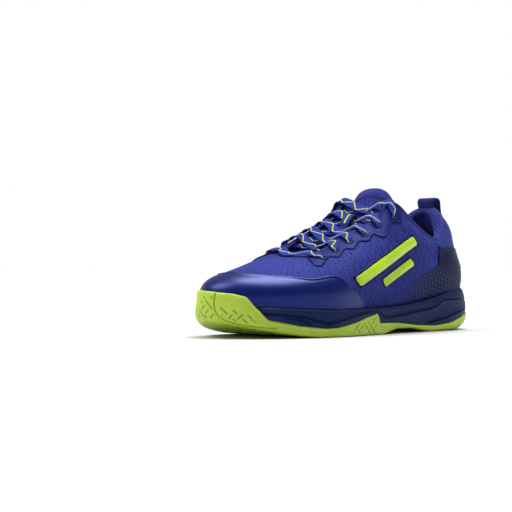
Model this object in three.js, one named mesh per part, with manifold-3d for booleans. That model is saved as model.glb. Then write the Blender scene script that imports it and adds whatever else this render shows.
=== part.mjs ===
// Court shoe, left foot, built up from its separate pieces.
//
// Frame: millimetres, +Z up, toe towards -Y, heel towards +Y, outer (lateral) side towards +X.
// The origin is a point of the flat tread that the shoe stands on.
//
// The upper's outer surface is one smooth sheet S(k, v). Meridian number k runs round the shoe: 0 is the
// heel centre, 13 the toe centre, 26 the heel again, with the lateral side first. v runs up each meridian,
// from 0 where the upper enters the sole to 1 at the collar or the edge of the lacing gap. Every layer of
// the upper is a patch of that sheet, moved out or in along its normal.
import * as THREE from "three";
import { mergeVertices } from "three/addons/utils/BufferGeometryUtils.js";
import Module from "manifold-3d";

const wasm = await Module();
wasm.setup();

// ---------------------------------------------------------------- driving dimensions (mm)

const GAP = 0.5; // air between neighbouring layers
const SKIN = 1.6; // thickness of the mesh upper
const FILM = 0.7; // thickness of the moulded overlays
const TREAD = 3; // thickness of the outsole's plate
const WRAP = 1.5; // thickness of the outsole where it climbs the side
const TOE_SPRING = 15; // rise of the toe tip off the ground
const TOE_SPRING_FROM = -70; // y where the toe starts to rise
const TOE_TIP = -149;
const ARCH_RISE = 4; // rise of the sole under the arch
const HEEL_BEVEL = 5; // rise of the back edge of the heel
const HEEL_BEVEL_FROM = 125;
const HEEL_TIP = 151.5;
const COLUMN = 1 / 2; // spacing of the meshes' columns, in k
const FINE_COLUMN = 1 / 3; // and beside the forefoot, where the outline turns
const FINE_RANGE = [7, 10];

// Half the last: 14 meridians from the heel centre to the toe centre, five points each, from the sole up.
// x is the distance from the last's centre line.
const HALF_LAST = [
  [[0, 145.5, 38], [0, 146.5, 54], [0, 142, 72], [0, 136.5, 91], [0, 123.5, 112]],
  [[24, 137.5, 38], [25, 137.5, 54], [22.5, 132.5, 72], [19.5, 129, 90], [14.5, 117.5, 108.5]],
  [[33, 112, 35.5], [35.5, 112, 51], [35, 111, 66], [32, 108.5, 80], [26.5, 106.5, 93]],
  [[33.5, 88, 30.5], [37.5, 88, 46], [38.5, 88, 60], [37, 89, 73], [33, 91.5, 83]],
  [[34, 62, 26.5], [39.5, 62, 45], [41, 63.5, 61], [39.5, 66, 76], [35, 72, 89]],
  [[36, 38, 24], [42, 37, 44], [43, 40, 64], [40.5, 46, 84], [34, 53, 102]],
  [[38.5, 15, 22.8], [45, 15, 44], [45.5, 19, 67], [38.5, 28, 91], [28.5, 38.5, 113]],
  [[43, -9, 22.3], [49, -9, 41], [47.5, -4, 61], [37.5, 7, 81], [22, 23, 100]],
  [[48, -33, 22], [52, -33, 39], [49, -27, 57], [37.5, -14, 74], [18.5, 0, 88]],
  [[49.5, -59, 22], [53, -58, 36], [49, -52, 51], [36.5, -39, 65.5], [18, -22, 78]],
  [[46, -87, 23], [49, -86, 36], [45, -79, 48], [32.5, -63, 60], [17, -41, 69.5]],
  [[37, -114, 24.5], [39, -112.5, 36.5], [34, -104, 47.5], [23, -81, 58], [13.5, -52, 66]],
  [[21, -135.5, 27], [22, -134, 38], [18.5, -123.5, 48], [12, -94, 57.5], [7.5, -58, 65.8]],
  [[0, -144.5, 28], [0, -142.5, 39], [0, -130.5, 48.5], [0, -100, 58], [0, -59.5, 66]],
];
// How much higher the lacing edge stands on the medial side, by meridian.
const MEDIAL_LIFT = [0, 0, 1.5, 3, 3, 2, 3, 4.5, 5.5, 6, 5, 3, 1, 0];
// Sideways run of the centre line, as [y, x]: the toe turns in towards the medial side.
const SOLE_LINE = [[-150, -9], [-110, -4.5], [-60, 0], [0, 1.5], [50, 1.5], [150, 0]];
const THROAT_LINE = [[-150, -9], [-60, -5], [0, -2], [60, 0], [150, 0]];
// Level of the footbed under the insole board, as [y, z].
const FOOTBED = [[-145, 21.4], [-110, 17.5], [-60, 15.4], [0, 16], [60, 19.5], [110, 23], [145, 24]];
// How far the sole's side stands out from the upper, as [k of the half last, mm].
const SOLE_LIP = [[0, 6], [3, 6], [6, 5.5], [8, 4.5], [13, 4.4]];
// How far the tread's edge is drawn in from the side, as [k of the half last, mm].
const TREAD_BEVEL = [[0, 7], [2, 5], [4, 3], [10, 3], [11.5, 7], [13, 9]];
// Height of the outsole's edge, as [k of the half last, z]: low along the waist, a raised outrigger beside
// the forefoot and a toe guard.
const EDGE_LATERAL = [
  [0, 17], [1, 14], [2, 9.5], [3, 6], [4.2, 6.5], [5.5, 9.5], [7.05, 9.5], [7.2, 17.5], [7.7, 14.5],
  [8.4, 9], [9.2, 6.8], [10.2, 9.5], [11.1, 14.6], [11.35, 22], [11.72, 33], [12.1, 35.5], [13, 37.5],
];
const EDGE_MEDIAL = [
  [0, 17], [1, 14], [2, 9.5], [3, 6], [4.2, 6.5], [5.5, 9.5], [7.9, 9.5], [8.05, 27.5], [8.5, 26.8],
  [9.5, 24.6], [10.3, 24.8], [11, 29], [11.6, 37], [12.1, 38.3], [13, 37.5],
];

// Eyelets from the toe up, as [k, v] on the lateral side; the medial row mirrors them.
const EYELETS = [[9.62, 0.8], [9.03, 0.84], [8.36, 0.868], [7.62, 0.862], [6.86, 0.868], [6.02, 0.858]];
const EYELET_RADIUS = 3;
const LACE_WIDTH = 6.4;
const LACE_THICK = 1.1;
const LACE_IN_HOLE = 3;
const BAR_Y = -57; // middle of the straight bar that closes the throat's front
const BAR_HEIGHT = 8.5;

// ---------------------------------------------------------------- numbers and curves

const clamp = (x, low, high) => Math.min(high, Math.max(low, x));
const mix = (a, b, t) => a + (b - a) * t;

function smooth(x, from, to) {
  const t = clamp((x - from) / (to - from), 0, 1);
  return t * t * (3 - 2 * t);
}

// Straight-line interpolation in a list of [x, y].
function along(list, x) {
  if (x <= list[0][0]) return list[0][1];
  for (let i = 1; i < list.length; i += 1) {
    const [x0, y0] = list[i - 1];
    const [x1, y1] = list[i];
    if (x <= x1) return mix(y0, y1, (x - x0) / (x1 - x0));
  }
  return list[list.length - 1][1];
}

// Smooth interpolation in a list of [x, y], as a cubic through the points.
function curveAlong(list, x) {
  const last = list.length - 1;
  const slope = (i) => {
    const [a, b] = [list[Math.max(0, i - 1)], list[Math.min(last, i + 1)]];
    return (b[1] - a[1]) / (b[0] - a[0]);
  };
  let i = 0;
  while (i < last - 1 && x > list[i + 1][0]) i += 1;
  const [x0, y0] = list[i];
  const [x1, y1] = list[i + 1];
  const span = x1 - x0;
  const t = (x - x0) / span;
  const bend = slope(i) * span * t * (1 - t) ** 2 - slope(i + 1) * span * t ** 2 * (1 - t);
  return y0 * (1 + 2 * t) * (1 - t) ** 2 + y1 * t ** 2 * (3 - 2 * t) + bend;
}

const Y_AXIS = new THREE.Vector3(0, 1, 0);
const MERIDIANS = 2 * (HALF_LAST.length - 1);
const LEVELS = HALF_LAST[0].length;
const halfK = (k) => {
  const turn = ((k % MERIDIANS) + MERIDIANS) % MERIDIANS;
  return turn <= MERIDIANS / 2 ? turn : MERIDIANS - turn;
};
const isMedial = (k) => ((k % MERIDIANS) + MERIDIANS) % MERIDIANS > MERIDIANS / 2;

// The last's points, lateral and medial, with the centre line's run and the medial lift.
function lastPoints() {
  const rows = [];
  for (let j = 0; j < MERIDIANS; j += 1) {
    const k = halfK(j);
    const side = isMedial(j) ? -1 : 1;
    rows.push(
      HALF_LAST[k].map(([x, y, z], i) => {
        const v = i / (LEVELS - 1);
        const run = mix(along(SOLE_LINE, y), along(THROAT_LINE, y), v);
        const lift = side < 0 ? MEDIAL_LIFT[k] * v : 0;
        return new THREE.Vector3(side * x + run, y, z + lift);
      }),
    );
  }
  return rows;
}

// Control points whose cubic B-spline passes through the given points, found by repeated correction.
function splineControls(points, neighbours) {
  const controls = points.map((p) => p.clone());
  for (let pass = 0; pass < 60; pass += 1) {
    const old = controls.map((p) => p.clone());
    controls.forEach((c, i) => {
      const [before, after] = neighbours(old, i);
      const curve = before.add(after).addScaledVector(old[i], 4).divideScalar(6);
      c.add(points[i]).sub(curve);
    });
  }
  return controls;
}

const ringNeighbours = (list, i) => [
  list[(i + list.length - 1) % list.length].clone(),
  list[(i + 1) % list.length].clone(),
];
const beyond = (end, inner) => end.clone().multiplyScalar(2).sub(inner);
const lineNeighbours = (list, i) => [
  i > 0 ? list[i - 1].clone() : beyond(list[0], list[1]),
  i < list.length - 1 ? list[i + 1].clone() : beyond(list[i], list[i - 1]),
];

function controlNet() {
  const points = lastPoints();
  const turned = points[0].map((_, i) => splineControls(points.map((row) => row[i]), ringNeighbours));
  return points.map((_, j) => {
    const row = splineControls(turned.map((column) => column[j]), lineNeighbours);
    return [beyond(row[0], row[1]), ...row, beyond(row[LEVELS - 1], row[LEVELS - 2])];
  });
}
const NET = controlNet();

const splineWeights = (t) => [
  (1 - t) ** 3 / 6,
  (3 * t ** 3 - 6 * t ** 2 + 4) / 6,
  (-3 * t ** 3 + 3 * t ** 2 + 3 * t + 1) / 6,
  t ** 3 / 6,
];

// A point of the sheet.
function sheet(k, v) {
  const column = Math.floor(k);
  const up = clamp(v, 0, 1) * (LEVELS - 1);
  const level = Math.min(Math.floor(up), LEVELS - 2);
  const acrossWeights = splineWeights(k - column);
  const upWeights = splineWeights(up - level);
  const p = new THREE.Vector3();
  acrossWeights.forEach((a, i) => {
    const row = NET[(((column + i - 1) % MERIDIANS) + MERIDIANS) % MERIDIANS];
    upWeights.forEach((b, j) => p.addScaledVector(row[level + j], a * b));
  });
  return p;
}

const STEP = 1e-3;

// The sheet's outward normal. At the sole it is level, so that the upper drops straight into the cup.
function sheetNormal(k, v) {
  const at = clamp(v, 2 * STEP, 1 - 2 * STEP);
  const across = sheet(k + STEP, at).sub(sheet(k - STEP, at));
  const up = sheet(k, at + STEP).sub(sheet(k, at - STEP));
  const n = up.cross(across).normalize();
  n.z *= smooth(v, -0.02, 0.12);
  return n.normalize();
}

const footbed = (y) => along(FOOTBED, y);

// A point of the upper, h out from the sheet. v from 0 down to -1 is the part inside the sole's cup.
function upper(k, v, h) {
  const p = sheet(k, v).addScaledVector(sheetNormal(k, v), h);
  if (v < 0) p.z += v * (sheet(k, 0).z - footbed(p.y) - GAP);
  return p;
}

// A point of the sole's outline, d out from the upper's lower edge, at height z.
function outline(k, d, z) {
  const p = sheet(k, 0).addScaledVector(sheetNormal(k, 0), d);
  p.z = z;
  return p;
}

// v where a meridian reaches height z.
function levelAt(k, z) {
  let low = 0;
  let high = 0.6;
  for (let i = 0; i < 30; i += 1) {
    const middle = (low + high) / 2;
    if (sheet(k, middle).z < z) low = middle;
    else high = middle;
  }
  return low;
}

// Height of the tread above the ground.
function ground(y) {
  const toe = clamp((TOE_SPRING_FROM - y) / (TOE_SPRING_FROM - TOE_TIP), 0, 1);
  const heel = clamp((y - HEEL_BEVEL_FROM) / (HEEL_TIP - HEEL_BEVEL_FROM), 0, 1);
  const arch = smooth(y, 4, 30) * (1 - smooth(y, 46, 80));
  return TOE_SPRING * toe ** 1.8 + HEEL_BEVEL * heel ** 2 + ARCH_RISE * arch;
}

// ---------------------------------------------------------------- closed meshes

class Solid {
  constructor() {
    this.points = [];
    this.faces = [];
  }

  point(p) {
    this.points.push(p);
    return this.points.length - 1;
  }

  quad(a, b, c, d) {
    this.faces.push([a, b, c], [a, c, d]);
  }

  volume() {
    return this.faces.reduce((sum, [a, b, c]) => {
      const [p, q, r] = [this.points[a], this.points[b], this.points[c]];
      return sum + p.dot(q.clone().cross(r)) / 6;
    }, 0);
  }

  geometry() {
    const outward = this.volume() >= 0;
    const index = this.faces.flatMap(([a, b, c]) => (outward ? [a, b, c] : [a, c, b]));
    const g = new THREE.BufferGeometry();
    g.setAttribute("position", new THREE.Float32BufferAttribute(this.points.flatMap((p) => p.toArray()), 3));
    g.setIndex(index);
    return g;
  }
}

// A shell between an outer and an inner grid of points, closed round its four edges.
function shellOf(outerAt, innerAt, columns, rows) {
  const solid = new Solid();
  const grid = (at) =>
    Array.from({ length: columns + 1 }, (_, i) =>
      Array.from({ length: rows + 1 }, (_, j) => solid.point(at(i / columns, j / rows))),
    );
  const outer = grid(outerAt);
  const inner = grid(innerAt);
  for (let i = 0; i < columns; i += 1) {
    for (let j = 0; j < rows; j += 1) {
      solid.quad(outer[i][j], outer[i + 1][j], outer[i + 1][j + 1], outer[i][j + 1]);
      solid.quad(inner[i][j], inner[i][j + 1], inner[i + 1][j + 1], inner[i + 1][j]);
    }
    solid.quad(outer[i][0], inner[i][0], inner[i + 1][0], outer[i + 1][0]);
    solid.quad(outer[i][rows], outer[i + 1][rows], inner[i + 1][rows], inner[i][rows]);
  }
  for (let j = 0; j < rows; j += 1) {
    solid.quad(outer[0][j], outer[0][j + 1], inner[0][j + 1], inner[0][j]);
    solid.quad(outer[columns][j], inner[columns][j], inner[columns][j + 1], outer[columns][j + 1]);
  }
  return solid.geometry();
}

// The meridians that every mesh has its columns on, once round the shoe, so that the facets of stacked
// layers run parallel.
function columnStops() {
  const half = [];
  const [from, to] = FINE_RANGE;
  for (let k = 0; k < from; k += COLUMN) half.push(k);
  const fine = Math.round((to - from) / FINE_COLUMN);
  for (let i = 0; i < fine; i += 1) half.push(from + i * FINE_COLUMN);
  for (let k = to; k < MERIDIANS / 2; k += COLUMN) half.push(k);
  const mirrored = half.slice(1).map((k) => MERIDIANS - k);
  return [...half, MERIDIANS / 2, ...mirrored.reverse()];
}
const COLUMN_STOPS = columnStops();

// The meridians of a patch's columns: its two ends, and the common ones between them.
function patchColumns(kFrom, kTo) {
  const margin = 0.1;
  const [low, high] = [Math.min(kFrom, kTo) + margin, Math.max(kFrom, kTo) - margin];
  const both = [...COLUMN_STOPS.map((k) => k - MERIDIANS), ...COLUMN_STOPS];
  const inside = both.filter((k) => k > low && k < high);
  return [kFrom, ...(kTo > kFrom ? inside : inside.reverse()), kTo];
}

// A patch of the upper from meridian kFrom to kTo, between the levels low(k) and high(k), and between the
// heights inner(k, v) and outer(k, v) off the sheet. Where it goes down into the sole's cup, that is one row.
function patch({ kFrom, kTo, low, high, outer, inner, rows }) {
  const stops = patchColumns(kFrom, kTo);
  const level = (k, t) => {
    if (low(k) >= 0) return mix(low(k), high(k), t);
    const above = (t * rows - 1) / (rows - 1);
    return above < 0 ? mix(0, low(k), -above * (rows - 1)) : above * high(k);
  };
  const at = (height) => (s, t) => {
    const k = stops[Math.round(s * (stops.length - 1))];
    const v = level(k, t);
    return upper(k, v, height(k, v));
  };
  return shellOf(at(outer), at(inner), stops.length - 1, rows);
}

// A solid through closed rings of equal count, with each end spanned straight across the shoe.
function ringSolid(rings) {
  const solid = new Solid();
  const ids = rings.map((ring) => ring.map((p) => solid.point(p)));
  const n = ids[0].length;
  for (let r = 0; r + 1 < ids.length; r += 1) {
    for (let i = 0; i < n; i += 1) {
      const j = (i + 1) % n;
      solid.quad(ids[r][i], ids[r][j], ids[r + 1][j], ids[r + 1][i]);
    }
  }
  const span = (ring) => {
    for (let i = 0; i < n / 2; i += 1) {
      const [a, b, c, d] = [ring[i], ring[i + 1], ring[(n - i - 1) % n], ring[(n - i) % n]];
      if (i === 0) solid.faces.push([a, b, c]);
      else if (i === n / 2 - 1) solid.faces.push([a, b, d]);
      else solid.quad(a, b, c, d);
    }
  };
  const turned = (ring) => ring.map((_, i) => ring[(n - i) % n]);
  span(turned(ids[0]));
  span(ids[ids.length - 1]);
  return solid.geometry();
}

const ringOf = (at) => COLUMN_STOPS.map(at);

function toSolid(geometry) {
  const bare = geometry.clone();
  bare.deleteAttribute("normal");
  bare.deleteAttribute("uv");
  const merged = mergeVertices(bare, 1e-4);
  return new wasm.Manifold(
    new wasm.Mesh({
      numProp: 3,
      vertProperties: merged.attributes.position.array,
      triVerts: new Uint32Array(merged.index.array),
    }),
  );
}

function toGeometry(solid) {
  const mesh = solid.getMesh();
  const g = new THREE.BufferGeometry();
  g.setAttribute("position", new THREE.Float32BufferAttribute(Array.from(mesh.vertProperties), 3));
  g.setIndex(Array.from(mesh.triVerts));
  return g;
}

function cut(geometry, tools) {
  return toGeometry(tools.reduce((solid, tool) => solid.subtract(toSolid(tool)), toSolid(geometry)));
}

// ---------------------------------------------------------------- sole

const lip = (k) => along(SOLE_LIP, halfK(k));
const edgeHeight = (k) => along(isMedial(k) ? EDGE_MEDIAL : EDGE_LATERAL, halfK(k));
const topOfCup = (k) => sheet(k, 0).z;

function outsole() {
  const bevel = (k) => along(TREAD_BEVEL, halfK(k));
  const floorAt = (k, inset) => ground(outline(k, lip(k) - inset, 0).y);
  const climbs = (k) => edgeHeight(k) > topOfCup(k) - 1;
  const wallTop = (k, h, inset, drop) => {
    if (!climbs(k)) return outline(k, lip(k) - inset, edgeHeight(k) - drop);
    const p = upper(k, levelAt(k, Math.max(edgeHeight(k), topOfCup(k) + 1.2)), h);
    p.z -= drop;
    return p;
  };
  return ringSolid([
    ringOf((k) => outline(k, lip(k) - bevel(k), floorAt(k, bevel(k)))),
    ringOf((k) => outline(k, lip(k) - 0.7, floorAt(k, 0) + 1.8)),
    ringOf((k) => outline(k, lip(k), Math.min(edgeHeight(k), topOfCup(k)) - 0.6)),
    ringOf((k) => wallTop(k, 2.9, 0.1, 0.2)),
    ringOf((k) => wallTop(k, 1.6, WRAP - 0.1, 0.2)),
    ringOf((k) => outline(k, lip(k) - WRAP, Math.min(edgeHeight(k), topOfCup(k)) - 0.6)),
    ringOf((k) => outline(k, lip(k) - WRAP - 0.4, floorAt(k, WRAP) + TREAD)),
  ]);
}

function midsole() {
  const inset = WRAP + 2 * GAP;
  const edge = (k) => Math.max(...[-COLUMN, 0, COLUMN].map((step) => edgeHeight(k + step)));
  const rim = (k) => topOfCup(k) - (edge(k) > topOfCup(k) - 3 ? 1.2 : 0);
  const hidden = (k) => smooth(edge(k), topOfCup(k) - 9, topOfCup(k) - 5);
  const step = (k) => Math.min(edge(k) + 2 * GAP, topOfCup(k) - 3.2);
  const floorAt = (k) => ground(outline(k, lip(k) - inset, 0).y) + TREAD + GAP;
  const cup = FILM + 2 * GAP;
  return ringSolid([
    ringOf((k) => outline(k, lip(k) - inset - 1.2, floorAt(k))),
    ringOf((k) => outline(k, lip(k) - inset, step(k) - 0.3)),
    ringOf((k) => outline(k, lip(k) - inset * hidden(k), step(k))),
    ringOf((k) => outline(k, Math.max(lip(k) - mix(1.4, inset, hidden(k)), cup + 0.4), rim(k) - 0.6)),
    ringOf((k) => outline(k, cup + 0.2, rim(k))),
    ringOf((k) => outline(k, cup, rim(k) - 0.5)),
    ringOf((k) => outline(k, cup, footbed(outline(k, cup, 0).y))),
  ]);
}

// A flat-sided plate that follows the footbed, drawn in from the upper by inset.
function bedPlate(inset, low, thick) {
  const at = (height) => ringOf((k) => {
    const p = outline(k, -inset, 0);
    p.z = footbed(p.y) + height;
    return p;
  });
  return ringSolid([at(low), at(low + thick)]);
}

// A rounded plate for the pockets inside the midsole.
function roundedPlate(halfWidth, length, thick, radius) {
  const w = halfWidth;
  const l = length / 2;
  const shape = new THREE.Shape();
  shape.moveTo(-w + radius, -l);
  shape.lineTo(w - radius, -l);
  shape.absarc(w - radius, -l + radius, radius, -Math.PI / 2, 0);
  shape.absarc(w - radius, l - radius, radius, 0, Math.PI / 2);
  shape.absarc(-w + radius, l - radius, radius, Math.PI / 2, Math.PI);
  shape.absarc(-w + radius, -l + radius, radius, Math.PI, Math.PI * 1.5);
  return new THREE.ExtrudeGeometry(shape, { depth: thick, bevelEnabled: false, curveSegments: 6 });
}

// The arch plate sits in the midsole's underside and the heel cushion in its top, under the board.
const SHANK = { halfWidth: 17, length: 92, thick: 1.6, x: 1.5, y: 30, z: 8.4, tilt: 0 };
const CUSHION = { halfWidth: 20, length: 46, thick: 7, x: 0.5, y: 104, z: 15.1, tilt: 0.05 };

function placedPlate(size, grow = 0, below = 0, above = 0) {
  const thick = size.thick + below + above;
  const g = roundedPlate(size.halfWidth + grow, size.length + 2 * grow, thick, 12 + grow);
  g.translate(0, 0, -below);
  g.rotateX(size.tilt);
  g.translate(size.x, size.y, size.z);
  return g;
}

// ---------------------------------------------------------------- pieces of the upper

const always = (value) => () => value;
const SEAM = 8.5; // meridian where the vamp meets the quarters
const COLLAR_FRONT = 5.9; // meridian of the collar's front corner

const collarSwell = (v) => smooth(v, 0.5, 0.78) * (1 - 0.75 * smooth(v, 0.84, 1));
const liningDepth = (v) => 3.6 + 4.4 * collarSwell(v);

// Top edge of the toe overlay: high over the toe, stepping up to a point beside the forefoot and then
// falling to the sole.
const TOE_TOP_LATERAL = [
  [7.35, 0.02], [7.9, 0.17], [8.56, 0.33], [9.0, 0.47], [9.28, 0.51], [9.92, 0.48], [10.66, 0.535], [13, 0.6],
];
const TOE_TOP_MEDIAL = [
  [7.0, 0.02], [7.5, 0.3], [8.0, 0.56], [8.5, 0.66], [9.0, 0.66], [9.4, 0.58], [10, 0.5], [10.7, 0.52], [13, 0.6],
];
const HEEL_TOP_LATERAL = [[0.45, 0.19], [1.8, 0.19], [3, 0.42], [3.5, 0.385], [4.7, 0.2], [6.1, 0.06]];
const HEEL_TOP_MEDIAL = [[0.45, 0.5], [2.9, 0.5], [6.1, 0.06]];
const BADGE_LOW = [[0.6, 0.26], [1.8, 0.26], [3, 0.5]];
const BADGE_HIGH = [[0.6, 0.45], [3, 0.79]];
const toeTop = (k) => along(isMedial(k) ? TOE_TOP_MEDIAL : TOE_TOP_LATERAL, halfK(k));
const heelTop = (k) => along(isMedial(k) ? HEEL_TOP_MEDIAL : HEEL_TOP_LATERAL, halfK(k));

// The lace holes, as short round cutters standing on the sheet.
function eyeletCutters(side) {
  return EYELETS.map(([k, v]) => {
    const at = side < 0 ? MERIDIANS - k : k;
    const g = new THREE.CylinderGeometry(EYELET_RADIUS, EYELET_RADIUS, 9, 10);
    g.applyQuaternion(new THREE.Quaternion().setFromUnitVectors(Y_AXIS, sheetNormal(at, v)));
    const p = sheet(at, v);
    g.translate(p.x, p.y, p.z);
    return g;
  });
}

function quarter(side) {
  const seam = side < 0 ? MERIDIANS - SEAM : SEAM;
  const back = side < 0 ? MERIDIANS - 0.03 : 0.03;
  const g = patch({
    kFrom: seam - side * 0.02,
    kTo: back,
    low: always(-0.98),
    high: always(1),
    outer: always(0),
    inner: always(-SKIN),
    rows: 10,
  });
  return cut(g, eyeletCutters(side).slice(2));
}

function vamp() {
  const g = patch({
    kFrom: SEAM + 0.02,
    kTo: MERIDIANS - SEAM - 0.02,
    low: always(-0.98),
    high: always(1),
    outer: always(0),
    inner: always(-SKIN),
    rows: 10,
  });
  return cut(g, [...eyeletCutters(1).slice(0, 2), ...eyeletCutters(-1).slice(0, 2)]);
}

// The reinforcement along one side of the lacing gap, with a scalloped outer edge round each eyelet.
function eyestay(side) {
  const from = side < 0 ? MERIDIANS - 10.5 : 10.5;
  const to = side < 0 ? MERIDIANS - 5.5 : 5.5;
  const scallop = (k) => {
    const nearest = Math.min(...EYELETS.map(([at]) => Math.abs(at - halfK(k))));
    const lugs = 0.05 * (1 - smooth(nearest, 0.1, 0.35));
    const widen = 0.06 * (1 - smooth(halfK(k), 6.2, 7.4));
    return 0.755 - lugs - widen - 0.06 * smooth(halfK(k), 9, 10.5);
  };
  const g = patch({
    kFrom: from,
    kTo: to,
    low: scallop,
    high: always(0.995),
    outer: always(GAP + FILM),
    inner: always(GAP),
    rows: 3,
  });
  return cut(g, eyeletCutters(side));
}

function heelOverlay(side) {
  const [from, to] = [0.5, 6];
  return patch({
    kFrom: side < 0 ? MERIDIANS - from : from,
    kTo: side < 0 ? MERIDIANS - to : to,
    low: always(-0.3),
    high: heelTop,
    outer: always(GAP + FILM),
    inner: always(GAP),
    rows: 7,
  });
}

// A raised bar of the side emblem: a slanted parallelogram in (k, v), thicker along its middle.
function emblemBar({ kLow, kHigh, vLow, vHigh, width }) {
  const place = (s, t) => {
    const v = mix(vLow, vHigh, t);
    return [mix(kLow, kHigh, t) - s * width, v];
  };
  const outer = (s, t) => {
    const [k, v] = place(s, t);
    return upper(k, v, GAP + 0.8 + 0.9 * Math.sin(Math.PI * s));
  };
  const inner = (s, t) => {
    const [k, v] = place(s, t);
    return upper(k, v, GAP);
  };
  return shellOf(outer, inner, 4, 10);
}

// ---------------------------------------------------------------- tongue

// Centre line of the tongue's top face, as [y, z], and its half width, as [y, x].
const TONGUE_LINE = [
  [-68, 55], [-58, 59.7], [-41, 66], [-22, 75], [0, 85], [20, 96.5], [31, 104.3], [38, 112.5], [42, 120], [44, 127.5],
];
const TONGUE_HALF = [[-68, 13], [-58, 17], [-41, 23], [-22, 26], [0, 27], [20, 27], [33, 26], [44, 25]];
const TONGUE_DROP = 0.0095; // fall of the tongue's sides, per mm squared
const TONGUE_ROLL = 0.16; // lean of the tongue towards the lateral side
const TONGUE_SPLIT = 37.5; // y of the fold where the free top of the tongue starts
const TONGUE_TIP = 44;

function tonguePoint(s, y, depth) {
  const z = curveAlong(TONGUE_LINE, y);
  const slope = curveAlong(TONGUE_LINE, y + 0.5) - curveAlong(TONGUE_LINE, y - 0.5);
  const x = s * along(TONGUE_HALF, y);
  const roll = TONGUE_ROLL * (1 - smooth(y, 20, 38));
  const tilt = Math.hypot(1, slope);
  const centre = along(THROAT_LINE, y);
  const fall = TONGUE_DROP * x * x * (1 + 0.9 * smooth(y, 28, 40));
  const n = new THREE.Vector3(2 * TONGUE_DROP * x + roll, -slope / tilt, 1 / tilt).normalize();
  const p = new THREE.Vector3(centre + x, y + (fall * slope) / tilt / 1.6, z - fall / tilt - roll * x);
  return p.addScaledVector(n, -depth);
}

function tongueSlab(yFrom, yTo, top, bottom, columns, rows, shrink) {
  const at = (depth) => (s, t) => tonguePoint((2 * s - 1) * shrink, mix(yFrom, yTo, t), depth);
  return shellOf(at(top), at(bottom), columns, rows);
}

// ---------------------------------------------------------------- lace

// A flat band through stations of {at, across, width, thick}: across is the direction of its width.
function band(stations) {
  const solid = new Solid();
  const corners = stations.map(({ at, across, width, thick }, i) => {
    const before = stations[Math.max(0, i - 1)].at;
    const after = stations[Math.min(stations.length - 1, i + 1)].at;
    const travel = after.clone().sub(before).normalize();
    const side = across.clone().addScaledVector(travel, -across.dot(travel)).normalize();
    const up = side.clone().cross(travel).normalize();
    return [[1, 1], [-1, 1], [-1, -1], [1, -1]].map(([a, b]) => {
      const p = at.clone().addScaledVector(side, (a * width) / 2);
      return solid.point(p.addScaledVector(up, (b * thick) / 2));
    });
  });
  for (let i = 0; i + 1 < corners.length; i += 1) {
    for (let j = 0; j < 4; j += 1) {
      const m = (j + 1) % 4;
      solid.quad(corners[i][j], corners[i][m], corners[i + 1][m], corners[i + 1][j]);
    }
  }
  const first = corners[0];
  const last = corners[corners.length - 1];
  solid.quad(first[3], first[2], first[1], first[0]);
  solid.quad(last[0], last[1], last[2], last[3]);
  return solid.geometry();
}

// Smooth stations through a few knots of {at, across, width, thick}.
function smoothBand(knots, perSpan) {
  const curve = new THREE.CatmullRomCurve3(knots.map((knot) => knot.at), false, "centripetal");
  const spans = knots.length - 1;
  const stations = [];
  for (let i = 0; i <= spans * perSpan; i += 1) {
    const t = i / (spans * perSpan);
    const from = Math.min(Math.floor(t * spans), spans - 1);
    const local = t * spans - from;
    const [a, b] = [knots[from], knots[from + 1]];
    stations.push({
      at: curve.getPoint(t),
      across: a.across.clone().lerp(b.across, local).normalize(),
      width: mix(a.width, b.width, local),
      thick: mix(a.thick, b.thick, local),
    });
  }
  return band(stations);
}

const eyeletK = (row, side) => (side < 0 ? MERIDIANS - EYELETS[row][0] : EYELETS[row][0]);

// The direction in the sheet at right angles to the lace, pointing up the throat.
function upThroat(from, to) {
  const travel = to.clone().sub(from).normalize();
  const y = (from.y + to.y) / 2;
  const lift = new THREE.Vector3(0, 1, curveAlong(TONGUE_LINE, y + 1) - curveAlong(TONGUE_LINE, y));
  return lift.addScaledVector(travel, -lift.dot(travel)).normalize();
}

// Knots of one crossing: out from under the edge at one eyelet, over the tongue, into the next eyelet.
function crossing(row, side, nextRow, over) {
  const from = [eyeletK(row, side), EYELETS[row][1]];
  const to = [eyeletK(nextRow, -side), EYELETS[nextRow][1]];
  const start = sheet(from[0], from[1]);
  const end = sheet(to[0], to[1]);
  const across = upThroat(start, end);
  const towards = side < 0 ? 1 : -1;
  const slant = 0.16;
  const edgeOut = upper(from[0] + towards * slant, 0.985, -SKIN - 1.7);
  const edgeIn = upper(to[0] + towards * slant, 0.995, GAP + FILM + 2.3);
  const middle = edgeOut.clone().lerp(edgeIn, 0.5);
  middle.copy(tonguePoint(0, middle.y, over ? -3.6 : -1.7));
  const flat = { across, width: LACE_WIDTH, thick: LACE_THICK };
  const inHole = { across, width: LACE_IN_HOLE, thick: LACE_THICK + 0.5 };
  return [
    { at: upper(from[0], from[1], -SKIN - 1.2), ...inHole },
    { at: upper(mix(from[0], from[0] + towards * slant, 0.6), mix(from[1], 0.985, 0.55), -SKIN - 2), ...flat },
    { at: edgeOut, ...flat },
    { at: middle, ...flat },
    { at: edgeIn, ...flat },
    { at: upper(to[0] + towards * 0.03, mix(to[1], 0.97, 0.4), GAP + FILM + 2.2), ...flat, width: 5 },
    { at: upper(to[0], to[1], GAP + FILM + 1.4), ...inHole },
  ];
}

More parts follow.
